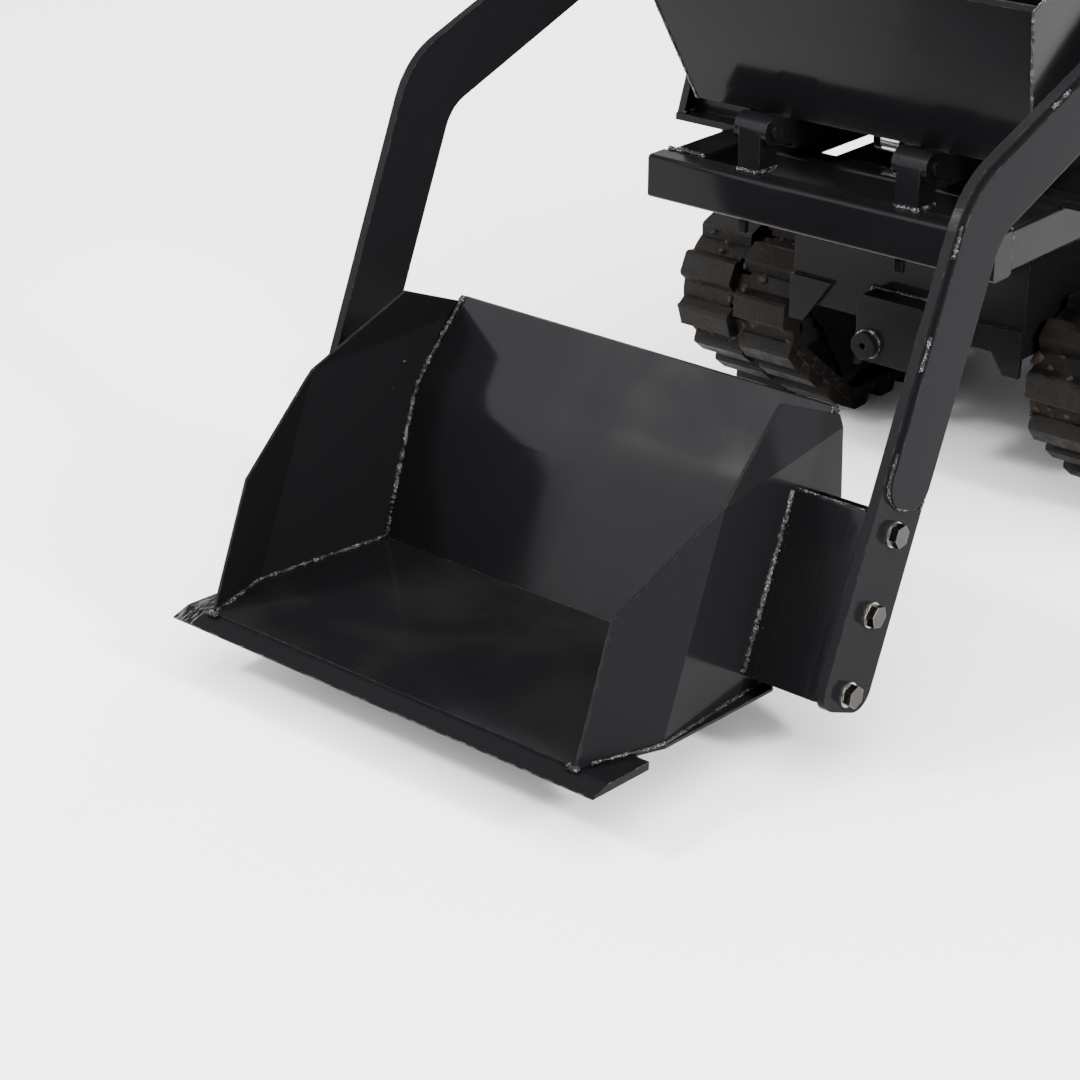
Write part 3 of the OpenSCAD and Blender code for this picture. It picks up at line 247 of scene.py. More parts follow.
def paint(name, base, rough=0.11, dust=0.05, edge=0.0012, wear=0.5, cut=0.0, drawn=None, gloss=0.065):
    """Gloss black paint: orange peel, faint haze, fine dust, worn and rounded edges."""
    n = Nodes(name)
    n.set(specular=gloss)
    peel = n.noise(420.0, 3.0)
    waves = n.noise(30.0, 2.0)
    haze = n.span(n.noise(4.5, 4.0, 0.5, 0.4), 0.42, 0.68)
    speck = n.span(n.noise(520.0, 2.0, 0.6), 0.73, 0.78)
    film = n.math("MULTIPLY", n.math("MULTIPLY", haze, n.facing_up(0.2, 0.95)), dust)
    film = n.math("MAXIMUM", film, n.math("MULTIPLY", speck, dust * 2.0))
    rub = n.math("MULTIPLY", n.edges(edge * 1.1), n.span(n.noise(90.0, 5.0, 0.7), 0.5, 0.62))
    rub = n.math("MULTIPLY", rub, wear)
    scratch = n.noise(70.0, 2.0, 0.5, 0.0, n.stretched((1.0, 11.0, 11.0)))
    scratch = n.math("MULTIPLY", n.span(scratch, 0.7, 0.76), 0.12)
    color = n.mix(film, base, (0.06, 0.055, 0.05))
    color = n.mix(rub, color, (0.05, 0.05, 0.052))
    roughness = n.math("ADD", n.math("MULTIPLY", haze, 0.1), rough)
    roughness = n.math("ADD", roughness, scratch)
    height = n.math("ADD", n.math("MULTIPLY", peel, 0.2), n.math("MULTIPLY", waves, 0.9))
    if cut:
        lines = n.noise(700.0, 2.0, 0.5, 0.0, n.stretched((0.06, 1.0, 1.0)))
        height = n.math("ADD", height, n.math("MULTIPLY", n.math("MULTIPLY", lines, cut_faces(n)), cut))
    if drawn is not None:
        grain = n.noise(240.0, 3.0, 0.6, 0.0, n.drawn_out((1.0, 1.0, 40.0), drawn))
        roughness = n.math("ADD", roughness, n.math("MULTIPLY", n.span(grain, 0.45, 0.7), 0.14))
        height = n.math("ADD", height, n.math("MULTIPLY", grain, 0.5))
    return n.surface(color, roughness, height, 0.1, 0.0005, edge)


def edge_paint():
    """The cutting edge's paint, with grinding marks at its left end."""
    n = Nodes("cutting_edge_paint")
    n.set(specular=0.035)
    split = n.add("ShaderNodeSeparateXYZ")
    n.link(n.place, split.inputs["Vector"])
    ends = n.span(split.outputs["X"], -0.287, -0.3)
    marks = n.noise(30.0, 3.0, 0.6, 0.2, n.stretched((26.0, 2.0, 2.0)))
    marks = n.math("MULTIPLY", marks, ends)
    bare = n.span(marks, 0.56, 0.62, 0.0, 0.5)
    worn = n.math("MULTIPLY", n.edges(0.0016), n.span(n.noise(60.0, 5.0, 0.7), 0.45, 0.6, 0.0, 0.6))
    color = n.mix(n.math("MAXIMUM", bare, worn), BLACK, (0.16, 0.155, 0.15))
    roughness = n.math("ADD", n.math("MULTIPLY", n.noise(25.0, 5.0), 0.14), 0.1)
    height = n.math("ADD", n.math("MULTIPLY", marks, 3.0), n.math("MULTIPLY", n.noise(300.0), 0.2))
    return n.surface(color, roughness, height, 0.35, 0.0006, 0.0009)


def metal(name, base, rough=0.3, dirt=(0.09, 0.07, 0.05), amount=0.4, brush=(1.0, 1.0, 1.0), edge=0.0006):
    n = Nodes(name)
    n.set(metal=0.92)
    spots = n.math("MULTIPLY", n.span(n.noise(130.0, 6.0, 0.7), 0.45, 0.68), amount)
    grain = n.noise(600.0, 3.0, 0.6, 0.0, n.stretched(brush))
    tone = n.mix(n.span(n.noise(36.0, 4.0), 0.35, 0.7), base, tuple(0.72 * v for v in base))
    color = n.mix(spots, tone, dirt)
    roughness = n.math("ADD", n.math("MULTIPLY", grain, 0.2), rough)
    roughness = n.math("ADD", roughness, n.math("MULTIPLY", spots, 0.4))
    return n.surface(color, roughness, grain, 0.14, 0.0004, edge)


def bolt_steel():
    """Dark bolt heads, lighter along their edges as rubbed metal and a painted edge highlight, over
    bright washers.
    """
    n = Nodes("bolt_steel")
    n.set(metal=0.95)
    split = n.add("ShaderNodeSeparateXYZ")
    n.link(n.place, split.inputs["Vector"])
    head = n.span(n.math("ABSOLUTE", split.outputs["X"], 0.0), 0.4241, 0.4245)
    spots = n.math("MULTIPLY", n.span(n.noise(240.0, 5.0, 0.7), 0.46, 0.66), 0.6)
    # rub: the heads' edges painted lighter, rubbed corners together with a painted edge highlight.
    rub = n.span(n.edges(0.0008), 0.2, 0.8, 0.0, 0.85)
    dark = n.mix(rub, (0.018, 0.016, 0.014), (0.24, 0.215, 0.19))
    color = n.mix(head, (0.28, 0.265, 0.24), dark)
    color = n.mix(spots, color, (0.016, 0.012, 0.009))
    grain = n.noise(520.0, 3.0, 0.6)
    roughness = n.math("ADD", n.math("MULTIPLY", grain, 0.2), 0.2)
    return n.surface(color, roughness, grain, 0.2, 0.0004, 0.0006)


def rubber(name, base, mud, amount):
    """Worn rubber with dried mud in its hollows."""
    n = Nodes(name)
    n.set(specular=0.1)
    lumps = n.noise(24.0, 8.0, 0.72, 0.4)
    fine = n.noise(190.0, 5.0, 0.7)
    grit = n.cells(240.0)
    cover = n.math("MULTIPLY", n.span(lumps, 0.42, 0.6), amount)
    color = n.mix(cover, base, mud)
    color = n.mix(n.math("MULTIPLY", n.span(fine, 0.5, 0.75), 0.5), color, tuple(0.45 * v for v in mud))
    roughness = n.math("ADD", n.math("MULTIPLY", cover, 0.3), 0.55)
    height = n.math("ADD", fine, n.math("MULTIPLY", grit, 0.5))
    height = n.math("ADD", n.math("MULTIPLY", lumps, 2.4), height)
    return n.surface(color, roughness, height, 0.55, 0.0022, 0.0025)


def cast(name, base, rough=0.5, dirt=0.3):
    n = Nodes(name)
    n.set(metal=0.25)
    grain = n.noise(330.0, 4.0, 0.65)
    cover = n.math("MULTIPLY", n.span(n.noise(19.0, 6.0, 0.6), 0.42, 0.7), dirt)
    color = n.mix(cover, base, (0.034, 0.026, 0.019))
    roughness = n.math("ADD", n.math("MULTIPLY", grain, 0.2), rough)
    return n.surface(color, roughness, grain, 0.4, 0.0008, 0.0012)


def plastic(name, base, rough=0.4):
    n = Nodes(name)
    n.set(specular=0.16)
    grain = n.noise(480.0, 3.0, 0.6)
    film = n.math("MULTIPLY", n.span(n.noise(14.0, 5.0), 0.45, 0.75), 0.25)
    color = n.mix(film, base, (0.03, 0.028, 0.026))
    roughness = n.math("ADD", n.math("MULTIPLY", grain, 0.16), rough)
    return n.surface(color, roughness, grain, 0.25, 0.0004, 0.001)


BLACK = (0.0036, 0.0036, 0.004)
# The same gloss black as BLACK, made lighter for the arms and side plates: painted light on those parts.
LIT_PLATE_BLACK = (0.0055, 0.0055, 0.006)
MATERIALS = {
    "black_paint": paint("gloss_black_paint", BLACK),
    "zinc_steel": metal("worn_zinc", (0.15, 0.138, 0.124), 0.22, (0.02, 0.015, 0.011), 0.7),
    "pin_steel": metal("pin_steel", (0.12, 0.12, 0.125), 0.3, (0.03, 0.024, 0.018), 0.4),
    "chromed_rod": metal("chromed_rod", (0.72, 0.73, 0.75), 0.06, amount=0.06, brush=(9.0, 1.0, 1.0)),
    "track_rubber": rubber("muddy_rubber", (0.0014, 0.0013, 0.0012), (0.0088, 0.006, 0.004), 0.85),
    "cast_wheel": cast("cast_wheel", (0.006, 0.006, 0.0065)),
    "engine_metal": cast("engine_casting", (0.05, 0.05, 0.053), 0.42, 0.2),
    "exhaust_steel": metal("heated_steel", (0.12, 0.1, 0.085), 0.4, (0.05, 0.026, 0.014), 0.6),
    "lever_steel": paint("satin_black", (0.004, 0.004, 0.0042), 0.26),
    "cap_plastic": plastic("black_plastic", (0.006, 0.006, 0.0062)),
}
for part in frame["record"]["subparts"]:
    obj = frame["nodes"][part["node"]]
    for place in obj.material_slots:
        place.material = MATERIALS[part["material_slot"]]
SPECIAL = {
    "arm_bolts": bolt_steel(),
    "cutting_edge": edge_paint(),
    # The arm and side plate paints take the lightened black, painted light.
    "arm": paint("cut_plate_paint", LIT_PLATE_BLACK, 0.12, 0.05, 0.0014, 0.6, 5.0, gloss=0.015),
    "side": paint("side_plate_paint", LIT_PLATE_BLACK, 0.13, gloss=0.022),
    "bracket": paint("rolled_steel_paint", BLACK, 0.12, 0.05, 0.0025, 0.4, 0.0, -ARM_LEAN),
}
SPECIAL_NODES = {
    "arm_bolts": ("arm_bolts",),
    "cutting_edge": ("cutting_edge",),
    "arm": ("arm_left", "arm_right", "arm_doublers"),
    "side": ("bucket_side_left", "bucket_side_right"),
    "bracket": ("bucket_bracket_left", "bucket_bracket_right"),
}
for kind, nodes in SPECIAL_NODES.items():
    for node in nodes:
        for place in frame["nodes"][node].material_slots:
            place.material = SPECIAL[kind]


def weld_material():
    """Painted weld: a rough glossy bead with bright specks, which are painted glints and bare metal where
    the paint is thin.
    """
    n = Nodes("painted_weld")
    n.set(specular=0.13, coat=0.06, coat_rough=0.03)
    fine = n.noise(520.0, 4.0, 0.6)
    wide = n.noise(160.0, 3.0)
    patch = n.span(n.noise(85.0, 2.0), 0.42, 0.6)
    # speck: where the bead is painted light grey, painted glints together with bare metal where the paint
    # is thin.
    speck = n.math("MULTIPLY", n.span(n.noise(900.0, 3.0, 0.65), 0.585, 0.62), patch)
    height = n.math("ADD", fine, n.math("MULTIPLY", wide, 1.8))
    # The specks' light grey is the painted glint colour on the black bead.
    color = n.mix(speck, BLACK, (0.42, 0.42, 0.43))
    roughness = n.math("ADD", n.math("MULTIPLY", fine, 0.1), 0.05)
    return n.surface(color, roughness, height, 0.8, 0.0012)


WELD = weld_material()


# Mesh helpers
def make(name, verts, faces, material, body, smooth=True):
    mesh = bpy.data.meshes.new(name)
    mesh.from_pydata([tuple(v) for v in verts], [], faces)
    mesh.validate()
    mesh.update()
    if smooth:
        for face in mesh.polygons:
            face.use_smooth = True
    mesh.materials.append(material)
    obj = bpy.data.objects.new(name, mesh)
    bpy.context.scene.collection.objects.link(obj)
    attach(obj, body)
    return obj


def mirrored(points):
    return [Vector((-p.x, p.y, p.z)) for p in points]


def resample(points, step):
    out, carry = [points[0]], 0.0
    for a, b in zip(points, points[1:]):
        length = (b - a).length
        at = step - carry
        while at < length:
            out.append(a.lerp(b, at / length))
            at += step
        carry = length - (at - step)
    out.append(points[-1])
    return out


def tube(points, radii, sides, verts, faces):
    """Adds a closed tube of changing radius to a mesh that is being made."""
    base, last = len(verts), len(points) - 1
    up = None
    for i, p in enumerate(points):
        along = (points[min(i + 1, last)] - points[max(i - 1, 0)]).normalized()
        if up is None:
            up = along.orthogonal().normalized()
        up = (up - along * up.dot(along)).normalized()
        across = along.cross(up)
        for k in range(sides):
            a = 2.0 * math.pi * k / sides
            verts.append(p + (up * math.cos(a) + across * math.sin(a)) * radii[i])
    for i in range(last):
        for k in range(sides):
            a, b = base + i * sides, base + (i + 1) * sides
            j = (k + 1) % sides
            faces.append((a + k, a + j, b + j, b + k))
    faces.append(tuple(base + k for k in reversed(range(sides))))
    faces.append(tuple(base + last * sides + k for k in range(sides)))


def beads(name, runs, body, radius=2.6, ripple=5.0, seed=1):
    """Weld beads along several runs of points: overlapping ripples of uneven width."""
    rng = random.Random(seed)
    verts, faces = [], []
    for run in runs:
        points = resample(run, ripple * MM / 5.0)
        radii, size = [], 1.0
        for i, p in enumerate(points):
            phase = (i % 5) / 5.0
            if i % 5 == 0:
                size = rng.uniform(0.82, 1.15)
            swell = 0.8 + 0.28 * math.sin(math.pi * phase)
            radii.append(radius * MM * size * swell)
            points[i] = p + Vector([rng.uniform(-0.1, 0.1) * radius * MM for _ in range(3)])
        for i in (0, -1):
            radii[i] *= 0.6
        tube(points, radii, 8, verts, faces)
    return make(name, verts, faces, WELD, body)


def spatter(name, runs, body, count, spread=9.0, seed=5):
    """Small round drops beside the welds."""
    rng = random.Random(seed)
    verts, faces = [], []
    ring = 5
    for _ in range(count):
        run = rng.choice(runs)
        i = rng.randrange(len(run) - 1)
        a, b, normal = run[i][0], run[i + 1][0], run[i][1]
        along = (b - a).normalized()
        across = along.cross(normal).normalized()
        p = a.lerp(b, rng.random()) + across * rng.gauss(0.0, spread) * MM
        r = rng.uniform(0.35, 0.8) * MM
        base = len(verts)
        verts.append(p + normal * r * 0.8)
        for h, w in ((0.45, 0.75), (-0.1, 1.0)):
            for k in range(ring):
                t = 2.0 * math.pi * k / ring
                verts.append(p + normal * r * h + (along * math.cos(t) + across * math.sin(t)) * r * w)
        for k in range(ring):
            j = (k + 1) % ring
            faces.append((base, base + 1 + k, base + 1 + j))
            faces.append((base + 1 + k, base + 1 + ring + k, base + 1 + ring + j, base + 1 + j))
    return make(name, verts, faces, WELD, body)


# Bucket welds
def inner(y, z, inset):
    """Beside the inner face of a side plate, inset by a bead."""
    return bucket(side_x(y, z) - SHEET - inset, y, z)


def both(runs):
    return runs + [mirrored(run) for run in runs]


back_run = [inner(y - 1.4, z + 1.0, 1.2) for y, z in back_line()]
floor_run = [inner(y, FLOOR_TOP + 1.3, 1.2) for y in (MOUTH + 3, BEND, HEEL - 2)]
beads("bucket_back_welds", both([back_run]), "loader", 3.6, 7.0, 11)
beads("bucket_floor_welds", both([floor_run]), "loader", 2.8, 6.0, 12)
lip_run = [bucket(side_x(y, FLOOR_TOP) + 1.0, y, FLOOR_TOP + 0.6) for y in (MOUTH + 16, BEND, HEEL)]
beads("bucket_lip_welds", both([lip_run]), "loader", 2.4, 5.0, 13)
nose_blob = [bucket(x, 23.0, 12.0) for x in (276.0, 284.0, 291.0)]
beads("edge_corner_welds", both([nose_blob]), "loader", 4.0, 4.0, 15)
outer_back = [bucket(side_x(y, z) - SHEET - 1.0, y, z) for y, z in back_line(SHEET + 1.2)]
beads("outer_back_welds", both([outer_back]), "loader", 2.6, 6.0, 16)
under_run = [bucket(x, 97.5, 8.0) for x in (-312.0, 312.0)]
beads("edge_back_weld", [under_run], "loader", 2.6, 6.0, 17)


def bracket_run(v, z0, z1):
    out = []
    for i in range(9):
        p = arm(0.0, v, z0 + (z1 - z0) * i / 8.0)
        y, z = to_bucket(p)
        out.append(Vector(((side_x(y, z) + 0.8) * MM, p.y, p.z)))
    return out


bracket_runs = [bracket_run(-45.8, 9, 226), bracket_run(40.0, 20, 226)]
beads("bracket_welds", both(bracket_runs), "loader", 4.2, 6.5, 21)
top_run = [arm(300.0, -38.5, 228.5), arm(402.0, -38.5, 228.5)]
beads("bracket_top_welds", both([top_run]), "loader", 2.0, 5.0, 22)

# The stitches follow the doubler's edge, set in from the arm's edge.
stitches = []
edge_v = -(ARM_W / 2 - DOUBLER_INSET)
for low, high in ((262, 300), (392, 432), (520, 556)):
    stitches.append([arm(ARM_OUT + 1.0, edge_v - 1.0, z) for z in (low, high)])
    stitches.append([arm(ARM_OUT + 1.0, -edge_v + 1.0, z - 20) for z in (low, high)])
end_z = DOUBLER_LOW + DOUBLER_END_R
end_r = DOUBLER_END_R + 0.5
half_flat = ARM_W / 2 - DOUBLER_INSET - DOUBLER_END_R
stitches.append([arm(ARM_OUT + 1.0, -(half_flat + end_r) * math.cos(a), end_z - end_r * math.sin(a))
                 for a in [math.radians(v) for v in range(0, 181, 15)]])
for low, high in ((150, 190), (300, 340), (430, 470)):
    for v in (-41.8, 41.8):
        stitches.append([upper(ARM_OUT + 1.0, v, u) for u in (low, high)])
beads("doubler_stitch_welds", both(stitches), "loader", 3.2, 6.0, 31)

drops = [[(a, Vector((0, -1, 0.2)).normalized()), (b, Vector((0, -1, 0.2)).normalized())]
         for a, b in zip(bracket_runs[0], bracket_runs[0][1:])]
spatter("bracket_spatter", drops, "loader", 60, 7.0, 41)


# Frame welds
def mm(*p):
    return Vector(p) * MM


deck_runs = both([[mm(209, -299, 486), mm(271, -299, 486)], [mm(271, -299, 484), mm(271, -299, 427)]])
for x in (107, 142):
    deck_runs += both([[mm(x, -316, 486), mm(x, -276, 486)]])
deck_runs += both([[mm(107, -316, 486), mm(142, -316, 486)]])
beads("deck_welds", deck_runs, "carrier", 3.2, 6.0, 51)
boss_ring = [mm(-34 + 19.5 * math.cos(a), -143, 214 + 19.5 * math.sin(a))
             for a in [math.radians(v) for v in range(0, 361, 20)]]
nose_runs = [[mm(-56, -106, 284), mm(56, -106, 284)], boss_ring]
nose_runs += both([[mm(56, -106, 284), mm(56, -106, 236)]])
beads("nose_welds", nose_runs, "carrier", 3.0, 6.0, 52)
post_runs = both([[mm(339, -178, 496), mm(339, 138, 496)], [mm(271, -178, 484), mm(271, 138, 484)]])
beads("post_welds", post_runs, "carrier", 3.4, 7.0, 53)


# Rear, skip and small fasteners
def ring(c, axis, r, n=24):
    """Points of a circle about an axis, in millimetres."""
    axis = Vector(axis).normalized()
    u = axis.orthogonal().normalized()
    v = axis.cross(u)
    turns = [2.0 * math.pi * i / n for i in range(n + 1)]
    return [(Vector(c) + (u * math.cos(a) + v * math.sin(a)) * r) * MM for a in turns]


def turned(name, axis_at, axis, profile, material, body, sides=28):
    """Pieces turned about an axis: profile gives radius and distance along it."""
    verts, faces = [], []
    axis = Vector(axis).normalized()
    u = axis.orthogonal().normalized()
    v = axis.cross(u)
    for c in axis_at:
        base = len(verts)
        for r, h in profile:
            for k in range(sides):
                a = 2.0 * math.pi * k / sides
                verts.append((Vector(c) + axis * h + (u * math.cos(a) + v * math.sin(a)) * r) * MM)
        for i in range(len(profile) - 1):
            for k in range(sides):
                j = (k + 1) % sides
                lo, hi = base + i * sides, base + (i + 1) * sides
                faces.append((lo + k, lo + j, hi + j, hi + k))
        faces.append(tuple(base + k for k in reversed(range(sides))))
        faces.append(tuple(base + (len(profile) - 1) * sides + k for k in range(sides)))
    return make(name, verts, faces, material, body)


SCREW_SIDES = 24


def screws(name, places, size, body, seed):
    """Hexagon flange screws: a washer face, a chamfered head and a dished top."""
    rng = random.Random(seed)
    verts, faces = [], []
    for c, normal in places:
        axis = Vector(normal).normalized()
        u = axis.orthogonal().normalized()
        v = axis.cross(u)
        start = rng.uniform(0.0, math.pi / 3.0)
        rows = ((1.15, 0.0, 0), (1.15, 0.14, 0), (0.95, 0.2, 1), (0.95, 0.62, 1),
                (0.8, 0.72, 0), (0.45, 0.66, 0))
        base = len(verts)
        for r, h, hexagon in rows:
            for k in range(SCREW_SIDES):
                a = start + 2.0 * math.pi * k / SCREW_SIDES
                turn = (a - start) % (math.pi / 3.0) - math.pi / 6.0
                reach = r * (0.866 / math.cos(turn) if hexagon else 1.0)
                across = u * math.cos(a) + v * math.sin(a)
                verts.append((Vector(c) + (axis * h + across * reach) * size) * MM)
        for i in range(len(rows) - 1):
            for k in range(SCREW_SIDES):
                j = (k + 1) % SCREW_SIDES
                lo, hi = base + i * SCREW_SIDES, base + (i + 1) * SCREW_SIDES
                faces.append((lo + k, lo + j, hi + j, hi + k))
        faces.append(tuple(base + (len(rows) - 1) * SCREW_SIDES + k for k in range(SCREW_SIDES)))
    return make(name, verts, faces, MATERIALS["zinc_steel"], body, False)


HOOD_X, HOOD_Y, HOOD_Z, HOOD_L, HOOD_H = 258.0, 525.0, 489.0, 366.0, 400.0
CONSOLE_X, CONSOLE_Y, CONSOLE_Z, CONSOLE_TOP = 200.0, 894.0, 690.0, 940.0
HANDLE_X, HANDLE_Y, HANDLE_Z, HANDLE_R = 232.0, 1164.0, 985.0, 16.0
DECK_BACK, DECK_MID_Z = 900.0, 455.0
SKIP_FRONT, SKIP_BACK, SKIP_Z, SKIP_H = -250.0, 455.0, 548.0, 320.0
SKIP_W, SKIP_FLOOR_W = 650.0, 524.0


def both_faces(points, x):
    """Places and outward normals on a left and a right wall."""
    return [((s * x, y, z), (s, 0.0, 0.0)) for s in (-1.0, 1.0) for y, z in points]


hood_points = [(HOOD_Y + y, HOOD_Z + z) for y in (22.0, HOOD_L / 2.0, HOOD_L - 22.0)
               for z in (22.0, HOOD_H - 26.0)]
screws("hood_screws", both_faces(hood_points, HOOD_X), 7.0, "carrier", 71)
console_points = [(CONSOLE_Y + 16.0, CONSOLE_Z + 20.0), (CONSOLE_Y + 62.0, CONSOLE_Z + 20.0),
                  (CONSOLE_Y + 16.0, CONSOLE_TOP - 34.0)]
screws("console_screws", both_faces(console_points, CONSOLE_X), 6.0, "carrier", 72)

grip = [(HANDLE_R + 0.2, 0.0), (HANDLE_R + 3.4, 1.5)]
for i in range(13):
    at = 3.0 + 8.0 * i
    grip += [(HANDLE_R + 3.4, at), (HANDLE_R + 2.2, at + 2.0)]
    grip += [(HANDLE_R + 2.2, at + 5.0), (HANDLE_R + 3.4, at + 7.0)]
grip += [(HANDLE_R + 3.4, 112.0), (HANDLE_R + 0.2, 114.0)]
grip_starts = [(-164.0, HANDLE_Y, HANDLE_Z), (50.0, HANDLE_Y, HANDLE_Z)]
turned("handlebar_grips", grip_starts, (1, 0, 0), grip, MATERIALS["cap_plastic"], "carrier")

LEVERS = (-140.0, -60.0, 0.0, 60.0, 140.0)
slots = []
for x in LEVERS:
    for sx, sy in ((-11.5, -34.5), (11.5, -34.5), (11.5, 34.5), (-11.5, 34.5)):
        slots.append(Vector((x + sx, CONSOLE_Y + 55.0 + sy, CONSOLE_TOP - 10.0 - sy * 20.0 / 110.0)) * MM)
verts, faces = [], []
for i in range(len(LEVERS)):
    corners = slots[4 * i:4 * i + 4]
    loop = resample(corners + corners[:1], 3.0 * MM)
    tube(loop, [2.2 * MM] * len(loop), 8, verts, faces)
make("lever_slot_trim", verts, faces, MATERIALS["cap_plastic"], "carrier")

nipple = [(5.0, 0.0), (5.0, 2.5), (2.6, 3.0), (2.6, 6.0), (3.4, 6.8), (3.4, 8.2), (2.0, 9.6)]
for sign, name in ((-1.0, "grease_nipple_right"), (1.0, "grease_nipple_left")):
    at = (sign * (ARM_OUT + 5.3), PIVOT[0] + 19.0, PIVOT[1])
    turned(name, [at], (sign, 0.0, 0.0), nipple, MATERIALS["zinc_steel"], "carrier", 14)

foot = both([ring((HANDLE_X, DECK_BACK + 1.0, DECK_MID_Z), (0, 1, 0), HANDLE_R + 1.5)])
beads("handlebar_welds", foot, "carrier", 2.6, 5.0, 54)


def skip_corner(y, z):
    """A point on the skip's left edge, where the side meets the front or back."""
    x = SKIP_FLOOR_W / 2.0 + (z - SKIP_Z) * (SKIP_W - SKIP_FLOOR_W) / 2.0 / SKIP_H
    return mm(x - 0.6, y, z)


front_seam = [skip_corner(SKIP_FRONT, SKIP_Z), skip_corner(SKIP_FRONT - 100.0, SKIP_Z + 0.7 * SKIP_H),
              skip_corner(SKIP_FRONT + 68.0, SKIP_Z + SKIP_H - 1.0)]
back_seam = [skip_corner(SKIP_BACK, SKIP_Z), skip_corner(SKIP_BACK + 50.0, SKIP_Z + SKIP_H)]
floor_seam = [skip_corner(SKIP_FRONT, SKIP_Z), skip_corner(SKIP_BACK, SKIP_Z)]
beads("skip_seams", both([front_seam, back_seam, floor_seam]), "skip", 2.0, 6.0, 55)


# Mud
WHEELS = [((0.0, 195.0), 74.0), ((95.0, 81.0), 45.0), ((650.0, 81.0), 45.0), ((790.0, 165.0), 74.0)]
BELT_T, LUG_H, TRACK_X, TRACK_W = 18.0, 18.0, 298.0, 200.0


def belt_path():
    """Points and outward normals of the belt's outer face, about 4 mm apart."""
    runs = []
    for i in range(4):
        (c0, r0), (c1, r1) = WHEELS[i], WHEELS[(i + 1) % 4]
        dy, dz = c1[0] - c0[0], c1[1] - c0[1]
        length = math.hypot(dy, dz)
        a = math.atan2(dz, dy) - math.acos((r0 - r1) / length)
        runs.append((c0, r0 + BELT_T, c1, r1 + BELT_T, a))
    path = []
    for i in range(4):
        a0, a1 = runs[i - 1][4], runs[i][4]
        while a1 < a0:
            a1 += 2.0 * math.pi
        c, r = runs[i][0], runs[i][1]
        steps = max(2, int((a1 - a0) * r / 4.0))
        for k in range(steps):
            a = a0 + (a1 - a0) * k / steps
            path.append(((c[0] + r * math.cos(a), c[1] + r * math.sin(a)), (math.cos(a), math.sin(a))))
        n = (math.cos(a1), math.sin(a1))
        p0 = (c[0] + r * n[0], c[1] + r * n[1])
        p1 = (runs[i][2][0] + runs[i][3] * n[0], runs[i][2][1] + runs[i][3] * n[1])
        steps = int(math.hypot(p1[0] - p0[0], p1[1] - p0[1]) / 4.0)
        for k in range(steps):
            t = k / steps
            path.append(((p0[0] + (p1[0] - p0[0]) * t, p0[1] + (p1[1] - p0[1]) * t), n))
    return path


BELT = belt_path()


def clod(p, normal, size, flat, rng, verts, faces):
    """One rounded lump of dried mud, sunk into what it lies on."""
    side = normal.orthogonal().normalized()
    other = normal.cross(side)
    turn = rng.uniform(0.0, math.pi)
    u = side * math.cos(turn) + other * math.sin(turn)
    v = normal.cross(u)
    base, rings, count = len(verts), 5, 9
    stretch = rng.uniform(0.7, 1.5)
    for i in range(1, rings):
        t = math.pi * i / rings
        for k in range(count):
            a = 2.0 * math.pi * (k + 0.5 * (i % 2)) / count
            r = size * rng.uniform(0.8, 1.15)
            verts.append(p + (u * (math.cos(a) * stretch) + v * math.sin(a)) * (r * math.sin(t))
                         + normal * (r * flat * math.cos(t)))
    top, low = len(verts), len(verts) + 1
    verts.append(p + normal * size * flat)
    verts.append(p - normal * size * flat)
    for k in range(count):
        j = (k + 1) % count
        faces.append((top, base + k, base + j))
        last = base + (rings - 2) * count
        faces.append((low, last + j, last + k))
        for i in range(rings - 2):
            a, b = base + i * count, base + (i + 1) * count
            faces.append((a + k, b + k, b + j, a + j))


MUD = rubber("dried_mud", (0.012, 0.0086, 0.006), (0.022, 0.0158, 0.011), 0.8)
TREAD_LOW = 45.0


def mud(name, side, count, seed):
    """Clods on the tread and its lugs, and on the belt's two edges."""
    rng = random.Random(seed)
    verts, faces = [], []
    for _ in range(count):
        (y, z), (ny, nz) = rng.choice(BELT)
        if z < TREAD_LOW:
            continue
        x = TRACK_X + rng.uniform(-0.49, 0.49) * TRACK_W
        lift = rng.choice((0.0, 0.0, 0.0, LUG_H * rng.uniform(0.1, 0.8)))
        size = rng.uniform(2.5, 8.5) * (0.6 if lift else 1.0)
        p = Vector((side * x, y + ny * lift, z + nz * lift)) * MM
        clod(p, Vector((0.0, ny, nz)), size * MM, rng.uniform(0.35, 0.7), rng, verts, faces)
    for _ in range(count // 2):
        (y, z), (ny, nz) = rng.choice(BELT)
        edge = rng.choice((-1.0, 1.0))
        depth = rng.uniform(0.0, BELT_T)
        p = Vector((side * (TRACK_X + edge * TRACK_W / 2.0), y - ny * depth, z - nz * depth)) * MM
        clod(p, Vector((side * edge, 0.0, 0.0)), rng.uniform(1.5, 5.0) * MM, 0.3, rng, verts, faces)
    return make(name, verts, faces, MUD, "carrier")


mud("track_mud_left", 1.0, 900, 61)
mud("track_mud_right", -1.0, 900, 62)


# Stage
def area(name, place, aim, size, power):
    light = bpy.data.lights.new(name, "AREA")
    light.shape = "RECTANGLE"
    light.size, light.size_y = size
    light.energy = power
    obj = bpy.data.objects.new(name, light)
    obj.location = place
    obj.rotation_euler = (Vector(aim) - Vector(place)).to_track_quat("-Z", "Y").to_euler()
    bpy.context.scene.collection.objects.link(obj)


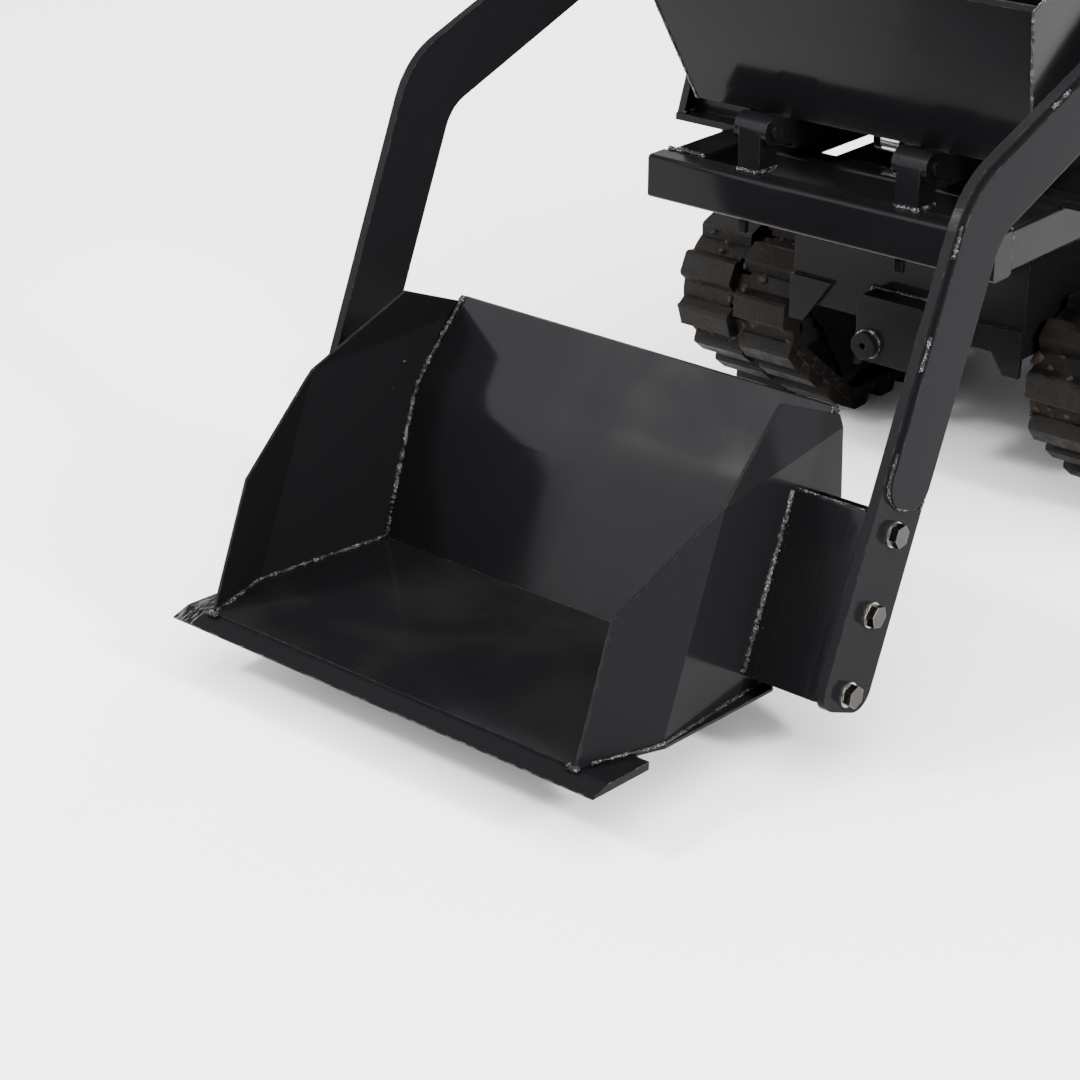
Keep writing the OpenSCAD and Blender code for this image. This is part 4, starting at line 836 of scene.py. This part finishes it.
floor_mesh = bpy.data.meshes.new("studio_floor")
floor_mesh.from_pydata([(-30, -30, 0), (30, -30, 0), (30, 30, 0), (-30, 30, 0)], [], [(0, 1, 2, 3)])
floor = bpy.data.objects.new("studio_floor", floor_mesh)
bpy.context.scene.collection.objects.link(floor)
floor_nodes = Nodes("pale_floor")
floor_tone = floor_nodes.mix(floor_nodes.noise(1.5, 3.0), (0.86, 0.86, 0.862), (0.88, 0.88, 0.88))
floor_nodes.surface(floor_tone, 0.8)
floor_mesh.materials.append(floor_nodes.mat)


def studio_world():
    """Even fill, with one wide soft glow to the front left that the gloss paint mirrors."""
    world = bpy.data.worlds.new("studio")
    bpy.context.scene.world = world
    world.use_nodes = True
    tree = world.node_tree
    coord = tree.nodes.new("ShaderNodeTexCoord")
    dot = tree.nodes.new("ShaderNodeVectorMath")
    dot.operation = "DOT_PRODUCT"
    dot.inputs[1].default_value = Vector((-0.62, -0.72, 0.36)).normalized()
    tree.links.new(coord.outputs["Generated"], dot.inputs[0])
    glow = tree.nodes.new("ShaderNodeMapRange")
    glow.interpolation_type = "SMOOTHSTEP"
    for key, number in (("From Min", 0.8), ("From Max", 0.97), ("To Min", 1.2), ("To Max", 6.6)):
        glow.inputs[key].default_value = number
    tree.links.new(dot.outputs["Value"], glow.inputs["Value"])
    background = tree.nodes["Background"]
    background.inputs["Color"].default_value = (0.97, 0.98, 1.0, 1.0)
    tree.links.new(glow.outputs["Result"], background.inputs["Strength"])


studio_world()
sun_data = bpy.data.lights.new("overhead", "SUN")
sun_data.energy = 6.4
sun_data.angle = math.radians(60.0)
sun = bpy.data.objects.new("overhead", sun_data)
sun.rotation_euler = (math.radians(16.0), math.radians(18.0), 0.0)
bpy.context.scene.collection.objects.link(sun)
area("key_box", (-1.8, -4.0, 3.6), (0, -0.8, 0.2), (0.7, 0.5), 340)
area("right_box", (4.2, -1.2, 2.8), (0.2, -0.6, 0.3), (0.5, 0.7), 360)
area("back_box", (-1.4, 4.4, 3.2), (0, 0.6, 0.4), (0.7, 0.7), 220)

camera_data = bpy.data.cameras.new("photo_camera")
camera_data.lens = 86.69
camera_data.sensor_width = 36.0
camera_data.clip_end = 100.0
camera = bpy.data.objects.new("photo_camera", camera_data)
camera.location = (1.843, -3.021, 1.502)
camera.rotation_euler = (math.radians(90.0 - 25.03), 0.0, math.radians(40.755))
bpy.context.scene.collection.objects.link(camera)
bpy.context.scene.camera = camera
